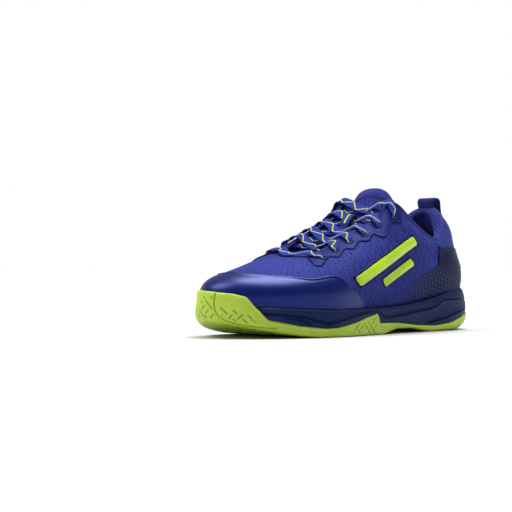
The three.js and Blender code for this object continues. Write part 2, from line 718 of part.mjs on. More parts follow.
// The whole lace: tail, up one half of the criss-cross in reverse, the straight front bar, and the other
// half, ending in the second tail.
function laceKnots() {
  const halfA = [];
  const halfB = [];
  for (let row = 0; row + 1 < EYELETS.length; row += 1) {
    const side = row % 2 === 0 ? 1 : -1;
    halfA.push(...crossing(row, side, row + 1, side > 0));
    halfB.push(...crossing(row, -side, row + 1, side < 0));
  }
  const v = EYELETS[0][1];
  const across = upThroat(sheet(eyeletK(0, 1), v), sheet(eyeletK(0, -1), v));
  const flat = { across, width: LACE_WIDTH, thick: LACE_THICK };
  const bar = [1, -1].map((side) => {
    const k = eyeletK(0, side);
    return [
      { at: upper(k, v, GAP + FILM + 1.3), across, width: LACE_IN_HOLE, thick: LACE_THICK + 0.5 },
      { at: upper(k + side * 0.5, mix(v, 0.99, 0.5), GAP + FILM + 1.8), ...flat, width: 5 },
      { at: upper(k + side * 1.2, 0.99, GAP + FILM + 2.4), ...flat },
    ];
  });
  const front = { at: tonguePoint(0, BAR_Y, -BAR_HEIGHT), ...flat };
  const tailA = tail(-1).reverse();
  return [...tailA, ...halfA.reverse(), ...bar[0], front, ...bar[1].reverse(), ...halfB, ...tail(1)];
}

// The last knots of the lace at one side: back under the edge from the top eyelet, towards its aglet.
function tail(side) {
  const [k, v] = [eyeletK(EYELETS.length - 1, side), EYELETS[EYELETS.length - 1][1]];
  const across = upThroat(sheet(k, v), sheet(MERIDIANS - k, v));
  const [seat, away] = agletAxis(side);
  const end = seat.clone().addScaledVector(away, -1.7);
  return [
    { at: upper(k, v, -SKIN - 1.2), across, width: LACE_IN_HOLE, thick: LACE_THICK + 0.5 },
    { at: upper(k + side * 0.2, mix(v, 1, 0.45), -SKIN - 1.9), across, width: 3.6, thick: LACE_THICK },
    { at: end, across, width: 2, thick: LACE_THICK },
  ];
}

// Where an aglet starts on the tongue, and the way that it points.
function agletAxis(side) {
  const seat = tonguePoint(side * 0.78, 25, -2.1);
  const tip = tonguePoint(side * 0.3, 22.8, -1.9);
  return [seat, tip.sub(seat).normalize()];
}

function aglet(side) {
  const length = 11;
  const [seat, away] = agletAxis(side);
  const g = new THREE.CylinderGeometry(1, 1.2, length, 8);
  g.applyQuaternion(new THREE.Quaternion().setFromUnitVectors(Y_AXIS, away));
  const middle = seat.addScaledVector(away, length / 2);
  g.translate(middle.x, middle.y, middle.z);
  return g;
}

// The webbing loop sewn lengthways on the tongue, over one crossing of the lace: [y, height] knots.
const KEEPER = [
  [4.4, 0.9], [6.6, 1.2], [8.6, 2.9], [10.2, 4.9], [13, 6.6], [16, 7.9], [19, 8.1], [21.2, 5.4], [23, 1.5], [25, 0.9],
];

function laceKeeper() {
  const across = new THREE.Vector3(1, 0, -TONGUE_ROLL).normalize();
  const knots = KEEPER.map(([y, height]) => ({ at: tonguePoint(0, y, -height), across, width: 9, thick: 0.8 }));
  return smoothBand(knots, 1);
}

// The free loop of the pull tab: an arch of webbing over the back of the collar, ending short of its feet
// so that it can fold forwards and back about the collar's top.
const TAB = { y: 122, z: 112.6, reach: 6.5, rise: 8.2, width: 18, thick: 1.5, foot: 22 };

function heelTab() {
  const stations = [];
  for (let degrees = TAB.foot; degrees <= 180 - TAB.foot; degrees += 8.5) {
    const a = THREE.MathUtils.degToRad(degrees);
    const at = new THREE.Vector3(0, TAB.y + TAB.reach * Math.cos(a), TAB.z + TAB.rise * Math.sin(a));
    stations.push({ at, across: new THREE.Vector3(1, 0, 0), width: TAB.width, thick: TAB.thick });
  }
  return band(stations);
}

// ---------------------------------------------------------------- the shoe

const shoe = new THREE.Group();

function add(name, geometry, color, roughness = 0.8, metalness = 0) {
  const mesh = new THREE.Mesh(geometry, new THREE.MeshStandardMaterial({ color, roughness, metalness }));
  mesh.name = name;
  shoe.add(mesh);
}

const ROYAL = "#2a2fa8";
const NAVY = "#1c2a6e";
const LIME = "#b4e03a";

add("outsole", outsole(), LIME, 0.6);
add("midsole", cut(midsole(), [placedPlate(SHANK, GAP, 8, GAP), placedPlate(CUSHION, GAP, GAP, 8)]), NAVY, 0.7);
add("shank", placedPlate(SHANK), "#20242c", 0.4);
add("heel_cushion", placedPlate(CUSHION), "#8fd0e8", 0.7);
add("insole_board", bedPlate(SKIN + 2 * GAP, GAP, 1.4), "#d8d4c8");
add("sockliner", bedPlate(5.2, 2.3, 4), "#2b3190", 0.9);
add("vamp", vamp(), ROYAL);
add("quarter_lateral", quarter(1), ROYAL);
add("quarter_medial", quarter(-1), ROYAL);
add("toe_puff", patch({
  kFrom: 10.2, kTo: MERIDIANS - 10.2, low: always(0.02), high: always(0.42),
  outer: always(-SKIN - GAP), inner: always(-SKIN - GAP - 0.9), rows: 5,
}), "#e6e2d4");
add("heel_counter", patch({
  kFrom: -3.1, kTo: 3.1, low: always(0.02), high: always(0.46),
  outer: always(-SKIN - GAP), inner: always(-SKIN - GAP - 1.2), rows: 5,
}), "#e6e2d4");
add("toe_overlay", patch({
  kFrom: 7.5, kTo: MERIDIANS - 7, low: always(-0.5), high: toeTop,
  outer: always(GAP + FILM), inner: always(GAP), rows: 6,
}), "#2430a0", 0.35);
add("eyestay_lateral", eyestay(1), ROYAL, 0.5);
add("eyestay_medial", eyestay(-1), ROYAL, 0.5);
add("heel_overlay_lateral", heelOverlay(1), "#39439c", 0.4);
add("heel_overlay_medial", heelOverlay(-1), "#39439c", 0.4);
add("heel_badge", patch({
  kFrom: 0.6, kTo: 3, low: (k) => along(BADGE_LOW, k), high: (k) => along(BADGE_HIGH, k),
  outer: always(GAP + FILM), inner: always(GAP), rows: 3,
}), "#1d2468", 0.5);
add("back_tape", patch({
  kFrom: -0.32, kTo: 0.32, low: always(0.02), high: always(0.72),
  outer: always(GAP + FILM), inner: always(GAP), rows: 6,
}), "#232a8c", 0.6);
add("collar_foam", patch({
  kFrom: -COLLAR_FRONT, kTo: COLLAR_FRONT, low: always(0.56), high: always(0.95),
  outer: always(-SKIN - GAP), inner: (k, v) => GAP - liningDepth(v), rows: 5,
}), "#c9ccd6");
add("collar_lining", patch({
  kFrom: -COLLAR_FRONT, kTo: COLLAR_FRONT, low: always(0.02), high: always(0.985),
  outer: (k, v) => -liningDepth(v), inner: (k, v) => -liningDepth(v) - 0.8, rows: 8,
}), "#3a44b8");
add("emblem_bar_long", emblemBar({ kLow: 8.1, kHigh: 5.1, vLow: 0.34, vHigh: 0.72, width: 0.8 }), "#c6ee2c", 0.4);
add("emblem_bar_short", emblemBar({ kLow: 6.4, kHigh: 4.6, vLow: 0.34, vHigh: 0.55, width: 0.7 }), "#c6ee2c", 0.4);

// The tongue's fixed length is a sandwich; its free top is one padded cuff that folds at the top lace row.
add("tongue_cover", tongueSlab(-66, TONGUE_SPLIT - 2, 0, 1, 8, 12, 1), "#2e36a8");
add("tongue_foam", tongueSlab(-62, TONGUE_SPLIT - 2.4, 1 + GAP, 3.4, 8, 12, 0.93), "#c9ccd6");
add("tongue_lining", tongueSlab(-66, TONGUE_SPLIT - 2, 3.4 + GAP, 4.4, 8, 12, 1), "#3a44b8");
add("tongue_cuff", tongueSlab(TONGUE_SPLIT, TONGUE_TIP, 0, 4.4, 8, 3, 1), "#3f49c4");
add("lace_keeper", laceKeeper(), "#23299a", 0.8);
add("lace", smoothBand(laceKnots(), 2), "#2b4ad0", 0.7);
add("aglet_lateral", aglet(1), "#e8eaf0", 0.3);
add("aglet_medial", aglet(-1), "#e8eaf0", 0.3);
add("heel_tab", heelTab(), "#1d2f9c", 0.7);
add("tab_leg_outer", patch({
  kFrom: -0.5, kTo: 0.5, low: always(0.745), high: always(0.985),
  outer: always(GAP + 1.5), inner: always(GAP), rows: 4,
}), "#1d2f9c", 0.7);
add("tab_leg_inner", patch({
  kFrom: -0.5, kTo: 0.5, low: always(0.88), high: always(0.985),
  outer: (k, v) => -liningDepth(v) - 0.8 - GAP, inner: (k, v) => -liningDepth(v) - 0.8 - GAP - 1.2, rows: 2,
}), "#1d2f9c", 0.7);

export default shoe;
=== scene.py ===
import functools
import math

import bpy
import numpy as np
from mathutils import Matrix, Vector


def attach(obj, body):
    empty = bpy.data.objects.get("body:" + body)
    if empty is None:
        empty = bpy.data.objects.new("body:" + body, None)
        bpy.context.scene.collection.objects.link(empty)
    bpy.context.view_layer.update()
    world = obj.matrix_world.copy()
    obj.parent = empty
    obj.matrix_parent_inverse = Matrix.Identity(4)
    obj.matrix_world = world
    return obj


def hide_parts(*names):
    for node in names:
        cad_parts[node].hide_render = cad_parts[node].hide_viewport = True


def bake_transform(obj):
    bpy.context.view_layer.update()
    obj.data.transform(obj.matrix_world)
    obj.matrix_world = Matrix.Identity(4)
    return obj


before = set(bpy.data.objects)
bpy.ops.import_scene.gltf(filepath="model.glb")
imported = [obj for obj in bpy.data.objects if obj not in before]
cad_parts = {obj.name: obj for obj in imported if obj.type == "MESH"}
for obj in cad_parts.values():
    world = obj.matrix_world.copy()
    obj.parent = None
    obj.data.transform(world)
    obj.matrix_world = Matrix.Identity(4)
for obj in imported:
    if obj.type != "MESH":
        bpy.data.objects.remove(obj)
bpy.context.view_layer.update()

MM = 0.001

# ---------------------------------------------------------------- driving dimensions (mm)

SKIN = 1.6  # thickness of the mesh upper
FILM = 0.9  # thickness of the moulded overlays
GAP = 0.5  # air between the frame's layers
WRAP = 1.5  # thickness of the outsole where it climbs the side
TOE_SPRING, TOE_SPRING_FROM, TOE_TIP = 15, -70, -149
ARCH_RISE = 4
HEEL_BEVEL, HEEL_BEVEL_FROM, HEEL_TIP = 5, 125, 151.5
MERIDIANS = 26  # k runs 0..26 round the shoe from the heel centre, lateral side first
MM_PER_K = 24.0  # rough distance between two meridians

# Half the last: 14 meridians from the heel centre to the toe centre, five points each, from the sole up.
HALF_LAST = [
    [(0, 145.5, 38), (0, 146.5, 54), (0, 142, 72), (0, 136.5, 91), (0, 123.5, 112)],
    [(24, 137.5, 38), (25, 137.5, 54), (22.5, 132.5, 72), (19.5, 129, 90), (14.5, 117.5, 108.5)],
    [(33, 112, 35.5), (35.5, 112, 51), (35, 111, 66), (32, 108.5, 80), (26.5, 106.5, 93)],
    [(33.5, 88, 30.5), (37.5, 88, 46), (38.5, 88, 60), (37, 89, 73), (33, 91.5, 83)],
    [(34, 62, 26.5), (39.5, 62, 45), (41, 63.5, 61), (39.5, 66, 76), (35, 72, 89)],
    [(36, 38, 24), (42, 37, 44), (43, 40, 64), (40.5, 46, 84), (34, 53, 102)],
    [(38.5, 15, 22.8), (45, 15, 44), (45.5, 19, 67), (38.5, 28, 91), (28.5, 38.5, 113)],
    [(43, -9, 22.3), (49, -9, 41), (47.5, -4, 61), (37.5, 7, 81), (22, 23, 100)],
    [(48, -33, 22), (52, -33, 39), (49, -27, 57), (37.5, -14, 74), (18.5, 0, 88)],
    [(49.5, -59, 22), (53, -58, 36), (49, -52, 51), (36.5, -39, 65.5), (18, -22, 78)],
    [(46, -87, 23), (49, -86, 36), (45, -79, 48), (32.5, -63, 60), (17, -41, 69.5)],
    [(37, -114, 24.5), (39, -112.5, 36.5), (34, -104, 47.5), (23, -81, 58), (13.5, -52, 66)],
    [(21, -135.5, 27), (22, -134, 38), (18.5, -123.5, 48), (12, -94, 57.5), (7.5, -58, 65.8)],
    [(0, -144.5, 28), (0, -142.5, 39), (0, -130.5, 48.5), (0, -100, 58), (0, -59.5, 66)],
]
MEDIAL_LIFT = [0, 0, 1.5, 3, 3, 2, 3, 4.5, 5.5, 6, 5, 3, 1, 0]
SOLE_LINE = [(-150, -9), (-110, -4.5), (-60, 0), (0, 1.5), (50, 1.5), (150, 0)]
THROAT_LINE = [(-150, -9), (-60, -5), (0, -2), (60, 0), (150, 0)]
FOOTBED = [(-145, 21.4), (-110, 17.5), (-60, 15.4), (0, 16), (60, 19.5), (110, 23), (145, 24)]
SOLE_LIP = [(0, 6), (3, 6), (6, 5.5), (8, 4.5), (13, 4.4)]
BEVEL_RISE = [
    (0, 14), (1.2, 13), (1.75, 9), (2.35, 5.2), (3, 3.2), (4, 2.4), (10, 2.4), (11.3, 4), (12, 7), (13, 9),
]
TREAD_BEVEL = [(0, 11), (1.4, 12), (2.1, 8), (3, 5), (4, 3), (10, 3), (11.5, 7), (13, 9)]
EDGE_LATERAL = [
    (0, 17), (0.9, 16.5), (1.3, 14.2), (1.75, 10.4), (2.35, 6.5), (3.2, 5), (4.2, 5.8), (5.5, 9),
    (6.74, 9.5),
    (6.82, 17.8), (7.5, 15.2), (8.2, 11), (9, 7.4), (9.4, 7), (10.2, 9.5), (11.1, 14.6),
    (11.35, 22), (11.72, 33),
    (12.1, 35.5), (13, 37.5),
]
EDGE_MEDIAL = [
    (0, 17), (1, 14), (2, 9.5), (3, 6), (4.2, 6.5), (5.5, 9.5), (7.9, 9.5), (8.05, 27.5), (8.5, 26.8),
    (9.5, 24.6), (10.3, 24.8), (11, 29), (11.6, 37), (12.1, 38.3), (13, 37.5),
]
SEAM = 8.5  # meridian where the vamp meets the quarters
COLLAR_FRONT = 5.9  # meridian of the collar's front corner
EYELETS = [(9.62, 0.8), (9.03, 0.84), (8.36, 0.868), (7.62, 0.862), (6.86, 0.868), (6.02, 0.858)]
TOE_TOP_LATERAL = [
    (7.35, 0.02), (7.9, 0.17), (8.56, 0.33), (9.0, 0.47), (9.28, 0.51), (9.92, 0.48),
    (10.66, 0.535), (13, 0.6),
]
TOE_TOP_MEDIAL = [
    (7.0, 0.02), (7.5, 0.3), (8.0, 0.56), (8.5, 0.66), (9.0, 0.66), (9.4, 0.58), (10, 0.5),
    (10.7, 0.52), (13, 0.6),
]
HEEL_TOP_LATERAL = [(0.45, 0.3), (1.8, 0.3), (2.9, 0.5), (3.5, 0.4), (4.7, 0.2), (6.1, 0.06)]
HEEL_TOP_MEDIAL = [(0.45, 0.5), (2.9, 0.5), (6.1, 0.06)]
BADGE_LOW = [(0.6, 0.26), (1.8, 0.26), (3, 0.5)]
BADGE_HIGH = [(0.6, 0.45), (3, 0.79)]
EYESTAY_EDGE = [
    (5.5, 0.83), (5.7, 0.78), (6.12, 0.8), (6.35, 0.71), (6.6, 0.69), (7.0, 0.78), (7.15, 0.82), (7.3, 0.78),
    (7.48, 0.757), (7.88, 0.806), (8.0, 0.805), (8.12, 0.765), (8.25, 0.725), (8.6, 0.8), (8.7, 0.795),
    (8.83, 0.73), (8.97, 0.712), (9.25, 0.78), (9.4, 0.77), (9.6, 0.65), (9.88, 0.675),
    (10.15, 0.79), (10.5, 0.93),
]

# ---------------------------------------------------------------- numbers and the upper's sheet


def smooth(x, low, high):
    t = np.clip((x - low) / (high - low), 0, 1)
    return t * t * (3 - 2 * t)


def mix(a, b, t):
    return a + (b - a) * t


def along(table, x):
    xs, ys = zip(*table)
    return np.interp(x, xs, ys)


def rounded_along(table, x, reach=0.1):
    """along(), with its corners rounded off over reach to each side."""
    shifts = np.linspace(-reach, reach, 7)
    return sum(along(table, x + shift) for shift in shifts) / len(shifts)


def side_distance(line, k, z):
    """Distance in mm from points of the shoe's side to a line of (k of the half last, height)."""
    x = half_k(k) * MM_PER_K
    nearest = np.inf
    for (k0, z0), (k1, z1) in zip(line, line[1:]):
        x0, dx, dz = k0 * MM_PER_K, (k1 - k0) * MM_PER_K, z1 - z0
        t = np.clip(((x - x0) * dx + (z - z0) * dz) / (dx * dx + dz * dz), 0, 1)
        nearest = np.minimum(nearest, np.hypot(x - x0 - t * dx, z - z0 - t * dz))
    return nearest


def bell(x, width):
    return np.exp(-((x / width) ** 2))


def quarter_round(x):
    return np.sqrt(np.clip(1 - (1 - np.clip(x, 0, 1)) ** 2, 0, 1))


def unit(vectors):
    return vectors / np.linalg.norm(vectors, axis=-1, keepdims=True)


def lengths(points):
    """Distance along the points from the first."""
    return np.concatenate([[0], np.cumsum(np.linalg.norm(np.diff(points, axis=0), axis=1))])


def same_shape(*values):
    return np.broadcast_arrays(*(np.asarray(value, float) for value in values))


def half_k(k):
    turn = np.mod(k, MERIDIANS)
    return np.where(turn <= MERIDIANS / 2, turn, MERIDIANS - turn)


def is_medial(k):
    return np.mod(k, MERIDIANS) > MERIDIANS / 2


def side_k(k, side):
    """k of the half last on the lateral side (1) or the medial side (-1)."""
    return k if side > 0 else MERIDIANS - k


def by_side(k, lateral, medial, lateral_reach, medial_reach):
    """The rounded table of k's own side."""
    on_lateral = rounded_along(lateral, half_k(k), lateral_reach)
    return np.where(is_medial(k), rounded_along(medial, half_k(k), medial_reach), on_lateral)


def last_points():
    """The last's points all the way round, moved sideways onto its curved centre lines."""
    j = np.arange(MERIDIANS)
    k = half_k(j).astype(int)
    medial = is_medial(j)[:, None]
    x, y, z = np.moveaxis(np.array(HALF_LAST, float)[k], -1, 0)
    v = np.linspace(0, 1, x.shape[1])
    run = mix(along(SOLE_LINE, y), along(THROAT_LINE, y), v)
    lift = np.array(MEDIAL_LIFT)[k][:, None] * v
    return np.stack([np.where(medial, -x, x) + run, y, z + np.where(medial, lift, 0)], -1)


def corrected(points, curve_of):
    """Control points whose cubic B-spline passes through the points, found by repeated correction."""
    net = points
    for _ in range(60):
        net = net + points - curve_of(net)
    return net


def control_net():
    """The sheet's control points: round the shoe first, then up its sides."""
    def round_shoe(c):
        return (np.roll(c, 1, 0) + 4 * c + np.roll(c, -1, 0)) / 6

    def with_ends(c):
        return np.concatenate([2 * c[:, :1] - c[:, 1:2], c, 2 * c[:, -1:] - c[:, -2:-1]], 1)

    def up_side(c):
        wide = with_ends(c)
        return (wide[:, :-2] + 4 * wide[:, 1:-1] + wide[:, 2:]) / 6

    return with_ends(corrected(corrected(last_points(), round_shoe), up_side))


NET = control_net()


def spline_weights(t):
    return [(1 - t) ** 3 / 6, (3 * t**3 - 6 * t**2 + 4) / 6, (-3 * t**3 + 3 * t**2 + 3 * t + 1) / 6, t**3 / 6]


def sheet(k, v):
    """Points of the upper's surface; v is held between 0 at the sole and 1 at the top edge."""
    k, v = same_shape(k, v)
    column = np.floor(k).astype(int)
    up = np.clip(v, 0, 1) * 4
    level = np.minimum(np.floor(up), 3).astype(int)
    p = np.zeros(k.shape + (3,))
    for i, a in enumerate(spline_weights(k - column)):
        for j, b in enumerate(spline_weights(up - level)):
            p += (a * b)[..., None] * NET[(column + i - 1) % MERIDIANS, level + j]
    return p


STEP = 1e-3  # of k and v, for slopes


def sheet_up(k, v):
    """The sheet's change with v."""
    at = np.clip(v, 2 * STEP, 1 - 2 * STEP)
    return (sheet(k, at + STEP) - sheet(k, at - STEP)) / (2 * STEP)


def sheet_normal(k, v):
    at = np.clip(v, 2 * STEP, 1 - 2 * STEP)
    n = unit(np.cross(sheet_up(k, v), sheet(k + STEP, at) - sheet(k - STEP, at)))
    n[..., 2] *= smooth(v, -0.02, 0.12)
    return unit(n)


def top_of_cup(k):
    return sheet(k, 0)[..., 2]


def upper(k, v, h):
    """Points h out from the sheet. v below 0 is inside the sole's cup, v above 1 beyond the top edge."""
    k, v, h = same_shape(k, v, h)
    p = sheet(k, v) + sheet_normal(k, v) * h[..., None] + sheet_up(k, v) * np.maximum(v - 1, 0)[..., None]
    p[..., 2] += np.minimum(v, 0) * (top_of_cup(k) - along(FOOTBED, p[..., 1]) - GAP)
    return p


def outline(k, d, z):
    """Points of the sole's outline, d out from the upper's lower edge, at height z."""
    k, d, z = same_shape(k, d, z)
    p = sheet(k, 0) + sheet_normal(k, 0) * d[..., None]
    p[..., 2] = z
    return p


def level_at(k, z):
    """v where each meridian reaches height z."""
    low = np.zeros(np.broadcast(k, z).shape)
    high = low + 0.6
    for _ in range(24):
        middle = (low + high) / 2
        below = sheet(k, middle)[..., 2] < z
        low = np.where(below, middle, low)
        high = np.where(below, high, middle)
    return low


def ground(y):
    """Height of the underside: toe spring, arch and bevelled heel."""
    toe = np.clip((TOE_SPRING_FROM - y) / (TOE_SPRING_FROM - TOE_TIP), 0, 1)
    heel = np.clip((y - HEEL_BEVEL_FROM) / (HEEL_TIP - HEEL_BEVEL_FROM), 0, 1)
    arch = smooth(y, 4, 30) * (1 - smooth(y, 46, 80))
    return TOE_SPRING * toe**1.8 + HEEL_BEVEL * heel**2 + ARCH_RISE * arch


def lip(k):
    return along(SOLE_LIP, half_k(k))


def edge_height(k):
    """Height of the outsole's top edge."""
    return by_side(k, EDGE_LATERAL, EDGE_MEDIAL, 0.05, 0.1)


def collar_zone(k):
    """1 along the padded collar, fading to 0 just in front of its corners."""
    return 1 - smooth(half_k(k), COLLAR_FRONT - 1.2, COLLAR_FRONT + 0.1)


def skin_height(k, v):
    """How far the mesh swells out over the collar's foam."""
    return 1.3 * collar_zone(k) * smooth(v, 0.6, 0.82) * (1 - smooth(v, 0.86, 1.0))


def lining_depth(k, v):
    """How far in the padded lining's face lies. It is fullest beside and behind the heel."""
    swell = smooth(v, 0.5, 0.78) * (1 - 0.75 * smooth(v, 0.84, 1))
    heel = 1 - smooth(half_k(k), 1.6, 3.6)
    return 3.6 + 4.4 * swell + 3.2 * heel * smooth(v, 0.55, 0.8)


ARC_K = np.linspace(0, MERIDIANS, 521)
ARC_LENGTH = lengths(sheet(ARC_K, 0.4))  # mm round the shoe


def meridian_length(k):
    points = np.stack([sheet(k, level) for level in np.linspace(0, 1, 9)])
    return np.linalg.norm(np.diff(points, axis=0), axis=-1).sum(axis=0)


def cloth_pattern(k, v):
    """Distances in mm round the shoe and up from the sole, for weaves and slots."""
    round_shoe = np.interp(np.mod(k, MERIDIANS), ARC_K, ARC_LENGTH)
    return np.stack(same_shape(round_shoe, v * meridian_length(k), 0), -1)


# ---------------------------------------------------------------- meshes

PIECES = {}  # by name


def points_out(points, faces):
    """True if the closed surface's faces point out."""
    a, b, c, d = (points[faces[:, i]] for i in range(4))
    return np.einsum("ij,ij->i", a, np.cross(b, c) + np.cross(c, d)).sum() > 0


def mesh_piece(name, points, faces, paint, body="shoe", pattern=None, sharp=40):
    """A smooth mesh with creases at angles above sharp. It rides on the body, if there is one."""
    if not points_out(points - points.mean(axis=0), faces):
        faces = faces[:, ::-1]
    data = bpy.data.meshes.new(name)
    data.from_pydata((points * MM).tolist(), [], faces.tolist())
    data.polygons.foreach_set("use_smooth", [True] * len(faces))
    data.set_sharp_from_angle(angle=math.radians(sharp))
    if pattern is not None:
        layer = data.attributes.new("pattern", "FLOAT_VECTOR", "POINT")
        layer.data.foreach_set("vector", np.asarray(pattern, np.float32).ravel())
    piece = bpy.data.objects.new(name, data)
    bpy.context.scene.collection.objects.link(piece)
    piece.data.materials.append(paint)
    if body is not None:
        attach(piece, body)
    PIECES[name] = piece
    return piece


def ring_faces(m, n, closed):
    """Faces through m rings of n points; open ends are closed by strips between opposite points."""
    i, j = np.meshgrid(np.arange(m if closed else m - 1), np.arange(n), indexing="ij")
    after, beside = (i + 1) % m, (j + 1) % n
    faces = [np.stack([i * n + j, i * n + beside, after * n + beside, after * n + j], -1).reshape(-1, 4)]
    if not closed:
        j = np.arange(n // 2 - 1)
        strip = np.stack([j, j + 1, n - 2 - j, n - 1 - j], -1)
        faces += [strip[:, ::-1], strip + (m - 1) * n]
    return np.concatenate(faces)


def loft(name, rings, paint, closed=False, **options):
    """A solid through rings of equal count, or one solid for each stack of such rings."""
    rings = np.asarray(rings, float)
    m, n = rings.shape[-3:-1]
    points = rings.reshape(-1, 3)
    faces = ring_faces(m, n, closed)
    faces = np.concatenate([faces + start for start in range(0, len(points), m * n)])
    return mesh_piece(name, points, faces, paint, **options)


def plate(name, top, bottom, paint, marks=None, **options):
    """A solid between two grids of points, which share their pattern marks."""
    if marks is not None:
        options["pattern"] = np.concatenate([marks, marks[:, ::-1]], 1)
    return loft(name, np.concatenate([top, bottom[:, ::-1]], 1), paint, **options)


EDGE_STOPS = np.array([0, 0.12, 0.35, 0.7, 1.1, 1.6, 2.2, 3.0])  # mm in from a film's edge
FILM_ROUND = 0.8  # radius of a film's edge
FILM_SUNK, FILM_UNDER = 0.25, 0.4  # how far its edge and its back lie under the mesh's face


def film(name, k_from, k_to, low, high, thick, paint, bead=0.0, spacing=0.06, rows=18):
    """A moulded film on the mesh, between the levels low(k) and high(k), with rounded edges.
    bead raises a lip just inside its edge."""
    span, ends = abs(k_to - k_from), EDGE_STOPS / MM_PER_K
    inner = np.linspace(ends[-1], span - ends[-1], int(span / spacing))
    steps = np.unique(np.concatenate([ends, inner, span - ends]))
    ks = (k_from + np.sign(k_to - k_from) * steps)[:, None]
    height = np.maximum(np.abs(high(ks) - low(ks)) * meridian_length(ks), EDGE_STOPS[-1] / 0.375)
    edge = EDGE_STOPS / height
    inner = mix(edge[:, -1:], 1 - edge[:, -1:], np.linspace(0, 1, rows))
    t = np.concatenate([edge[:, :-1], inner, 1 - edge[:, -2::-1]], 1)
    v = mix(low(ks), high(ks), t)
    from_end = np.minimum(np.abs(ks - k_from), np.abs(ks - k_to)) * MM_PER_K
    inset = np.minimum(from_end, np.minimum(t, 1 - t) * height)
    h = -FILM_SUNK + (thick + FILM_SUNK) * quarter_round(inset / FILM_ROUND)
    h = h + bead * (bell(inset - 1.5, 0.7) - 0.8 * bell(inset - 3.2, 0.6))
    base = skin_height(ks, v)
    return plate(name, upper(ks, v, base + h), upper(ks, v, base - FILM_UNDER), paint, cloth_pattern(ks, v))


def catmull_rom(knots, per_span):
    """A smooth curve through the knots, with the span's number and the place in it for each point."""
    knots = np.asarray(knots, float)
    padded = np.concatenate([[2 * knots[0] - knots[1]], knots, [2 * knots[-1] - knots[-2]]])
    points, spans = [], []
    for i in range(len(knots) - 1):
        p0, p1, p2, p3 = padded[i : i + 4]
        d0, d1, d2 = (max(np.linalg.norm(b - a) ** 0.5, 1e-4) for a, b in ((p0, p1), (p1, p2), (p2, p3)))
        t1 = ((p1 - p0) / d0 - (p2 - p0) / (d0 + d1) + (p2 - p1) / d1) * d1
        t2 = ((p2 - p1) / d1 - (p3 - p1) / (d1 + d2) + (p3 - p2) / d2) * d1
        for step in range(per_span):
            t = step / per_span
            c2 = -3 * p1 + 3 * p2 - 2 * t1 - t2
            c3 = 2 * p1 - 2 * p2 + t1 + t2
            points.append(p1 + t1 * t + c2 * t**2 + c3 * t**3)
            spans.append(i + t)
    points.append(knots[-1])
    spans.append(len(knots) - 1)
    return np.array(points), np.array(spans)


def flat_section():
    """Half of an oblong's outline above and half below, as (across, up) from -1 to 1."""
    top = [(1.0, 0.45), *((x, 1.0) for x in np.linspace(0.88, -0.88, 7)), (-1.0, 0.45)]
    return np.array(top + [(x, -y) for x, y in reversed(top)])


def round_section(count=10):
    """A circle's outline, ordered so that opposite points pair up across it."""
    angles = np.linspace(0, 2 * np.pi, count, endpoint=False) + np.pi / count
    return np.stack([np.cos(angles), np.sin(angles)], -1)


def strap(name, knots, paint, per_span, section=flat_section(), **options):
    """A band or cord along knots of (point, across, width, thickness)."""
    at, across, width, thick = (np.array(column, float) for column in zip(*knots))
    points, spans = catmull_rom(at, per_span)
    index = np.arange(len(knots))
    out = section[:, 0] * np.interp(spans, index, width)[:, None] / 2
    up = section[:, 1] * np.interp(spans, index, thick)[:, None] / 2
    sides = np.stack([np.interp(spans, index, axis) for axis in across.T], -1)
    travel = unit(np.gradient(points, axis=0))
    sides = unit(sides - travel * np.sum(sides * travel, axis=1, keepdims=True))
    ups = np.cross(sides, travel)
    rings = points[:, None] + sides[:, None] * out[..., None] + ups[:, None] * up[..., None]
    marks = np.stack(same_shape(lengths(points)[:, None], out, section[:, 1]), -1)
    return loft(name, rings, paint, pattern=marks, **options)


STITCH_RADIUS, STITCH_DIP = 0.28, 0.3
STITCH_STOPS = [(-0.5, 0.3), (-0.35, 0.9), (0, 1), (0.35, 0.9), (0.5, 0.3)]  # place along it, thickness


def stitches(name, k, v, height, aside=0.0, length=2.2):
    """A row of short raised threads along a line of the upper, moved aside in x. Their ends dip in."""
    k, v = same_shape(k, v)
    line = upper(k, v, height + skin_height(k, v))
    line[:, 0] += aside
    travel, normals = unit(np.gradient(line, axis=0)), sheet_normal(k, v)
    section = round_section(6)
    ring = section[:, :1] * np.cross(normals, travel)[:, None] + section[:, 1:] * normals[:, None]
    rings = []
    for stop, size in STITCH_STOPS:
        middle = line + travel * stop * length - normals * STITCH_DIP * (abs(stop) == 0.5)
        rings.append(middle[:, None] + size * STITCH_RADIUS * ring)
    rings = np.stack(rings, 1)
    return loft(name, rings, PAINTS["piping"], pattern=rings)


# ---------------------------------------------------------------- paints


class Field:
    """A number that varies from place to place: a node's output. Arithmetic on it adds nodes."""

    def __init__(self, nodes, socket):
        self.nodes = nodes
        self.socket = socket

    def math(self, operation, *others):
        return self.nodes.math(operation, self, *others)

    def __add__(self, other):
        return self.math("ADD", other)

    def __sub__(self, other):
        return self.math("SUBTRACT", other)

    def __rsub__(self, other):
        return self.nodes.math("SUBTRACT", other, self)

    def __mul__(self, other):
        return self.math("MULTIPLY", other)

    def __truediv__(self, other):
        return self.math("DIVIDE", other)

    def __pow__(self, other):
        return self.math("POWER", other)

    def __mod__(self, other):
        return self.math("MODULO", other)

    def __lt__(self, other):
        return self.math("LESS_THAN", other)

    def __abs__(self):
        return self.math("ABSOLUTE")

    def floor(self):
        return self.math("FLOOR")

    def wave(self, pitch):
        return (self * (2 * math.pi / pitch)).math("SINE")

    def ramp(self, low, high, at_low=0.0, at_high=1.0, **settings):
        """From at_low where this is low to at_high where it is high."""
        inputs = {0: self, 1: low, 2: high, 3: at_low, 4: at_high}
        return self.nodes.field("MapRange", inputs, **settings)

    def step(self, low, high):
        """0 where this is below low, 1 above high, smooth between. The other way round if low is the higher."""
        return self.ramp(low, high, interpolation_type="SMOOTHSTEP")


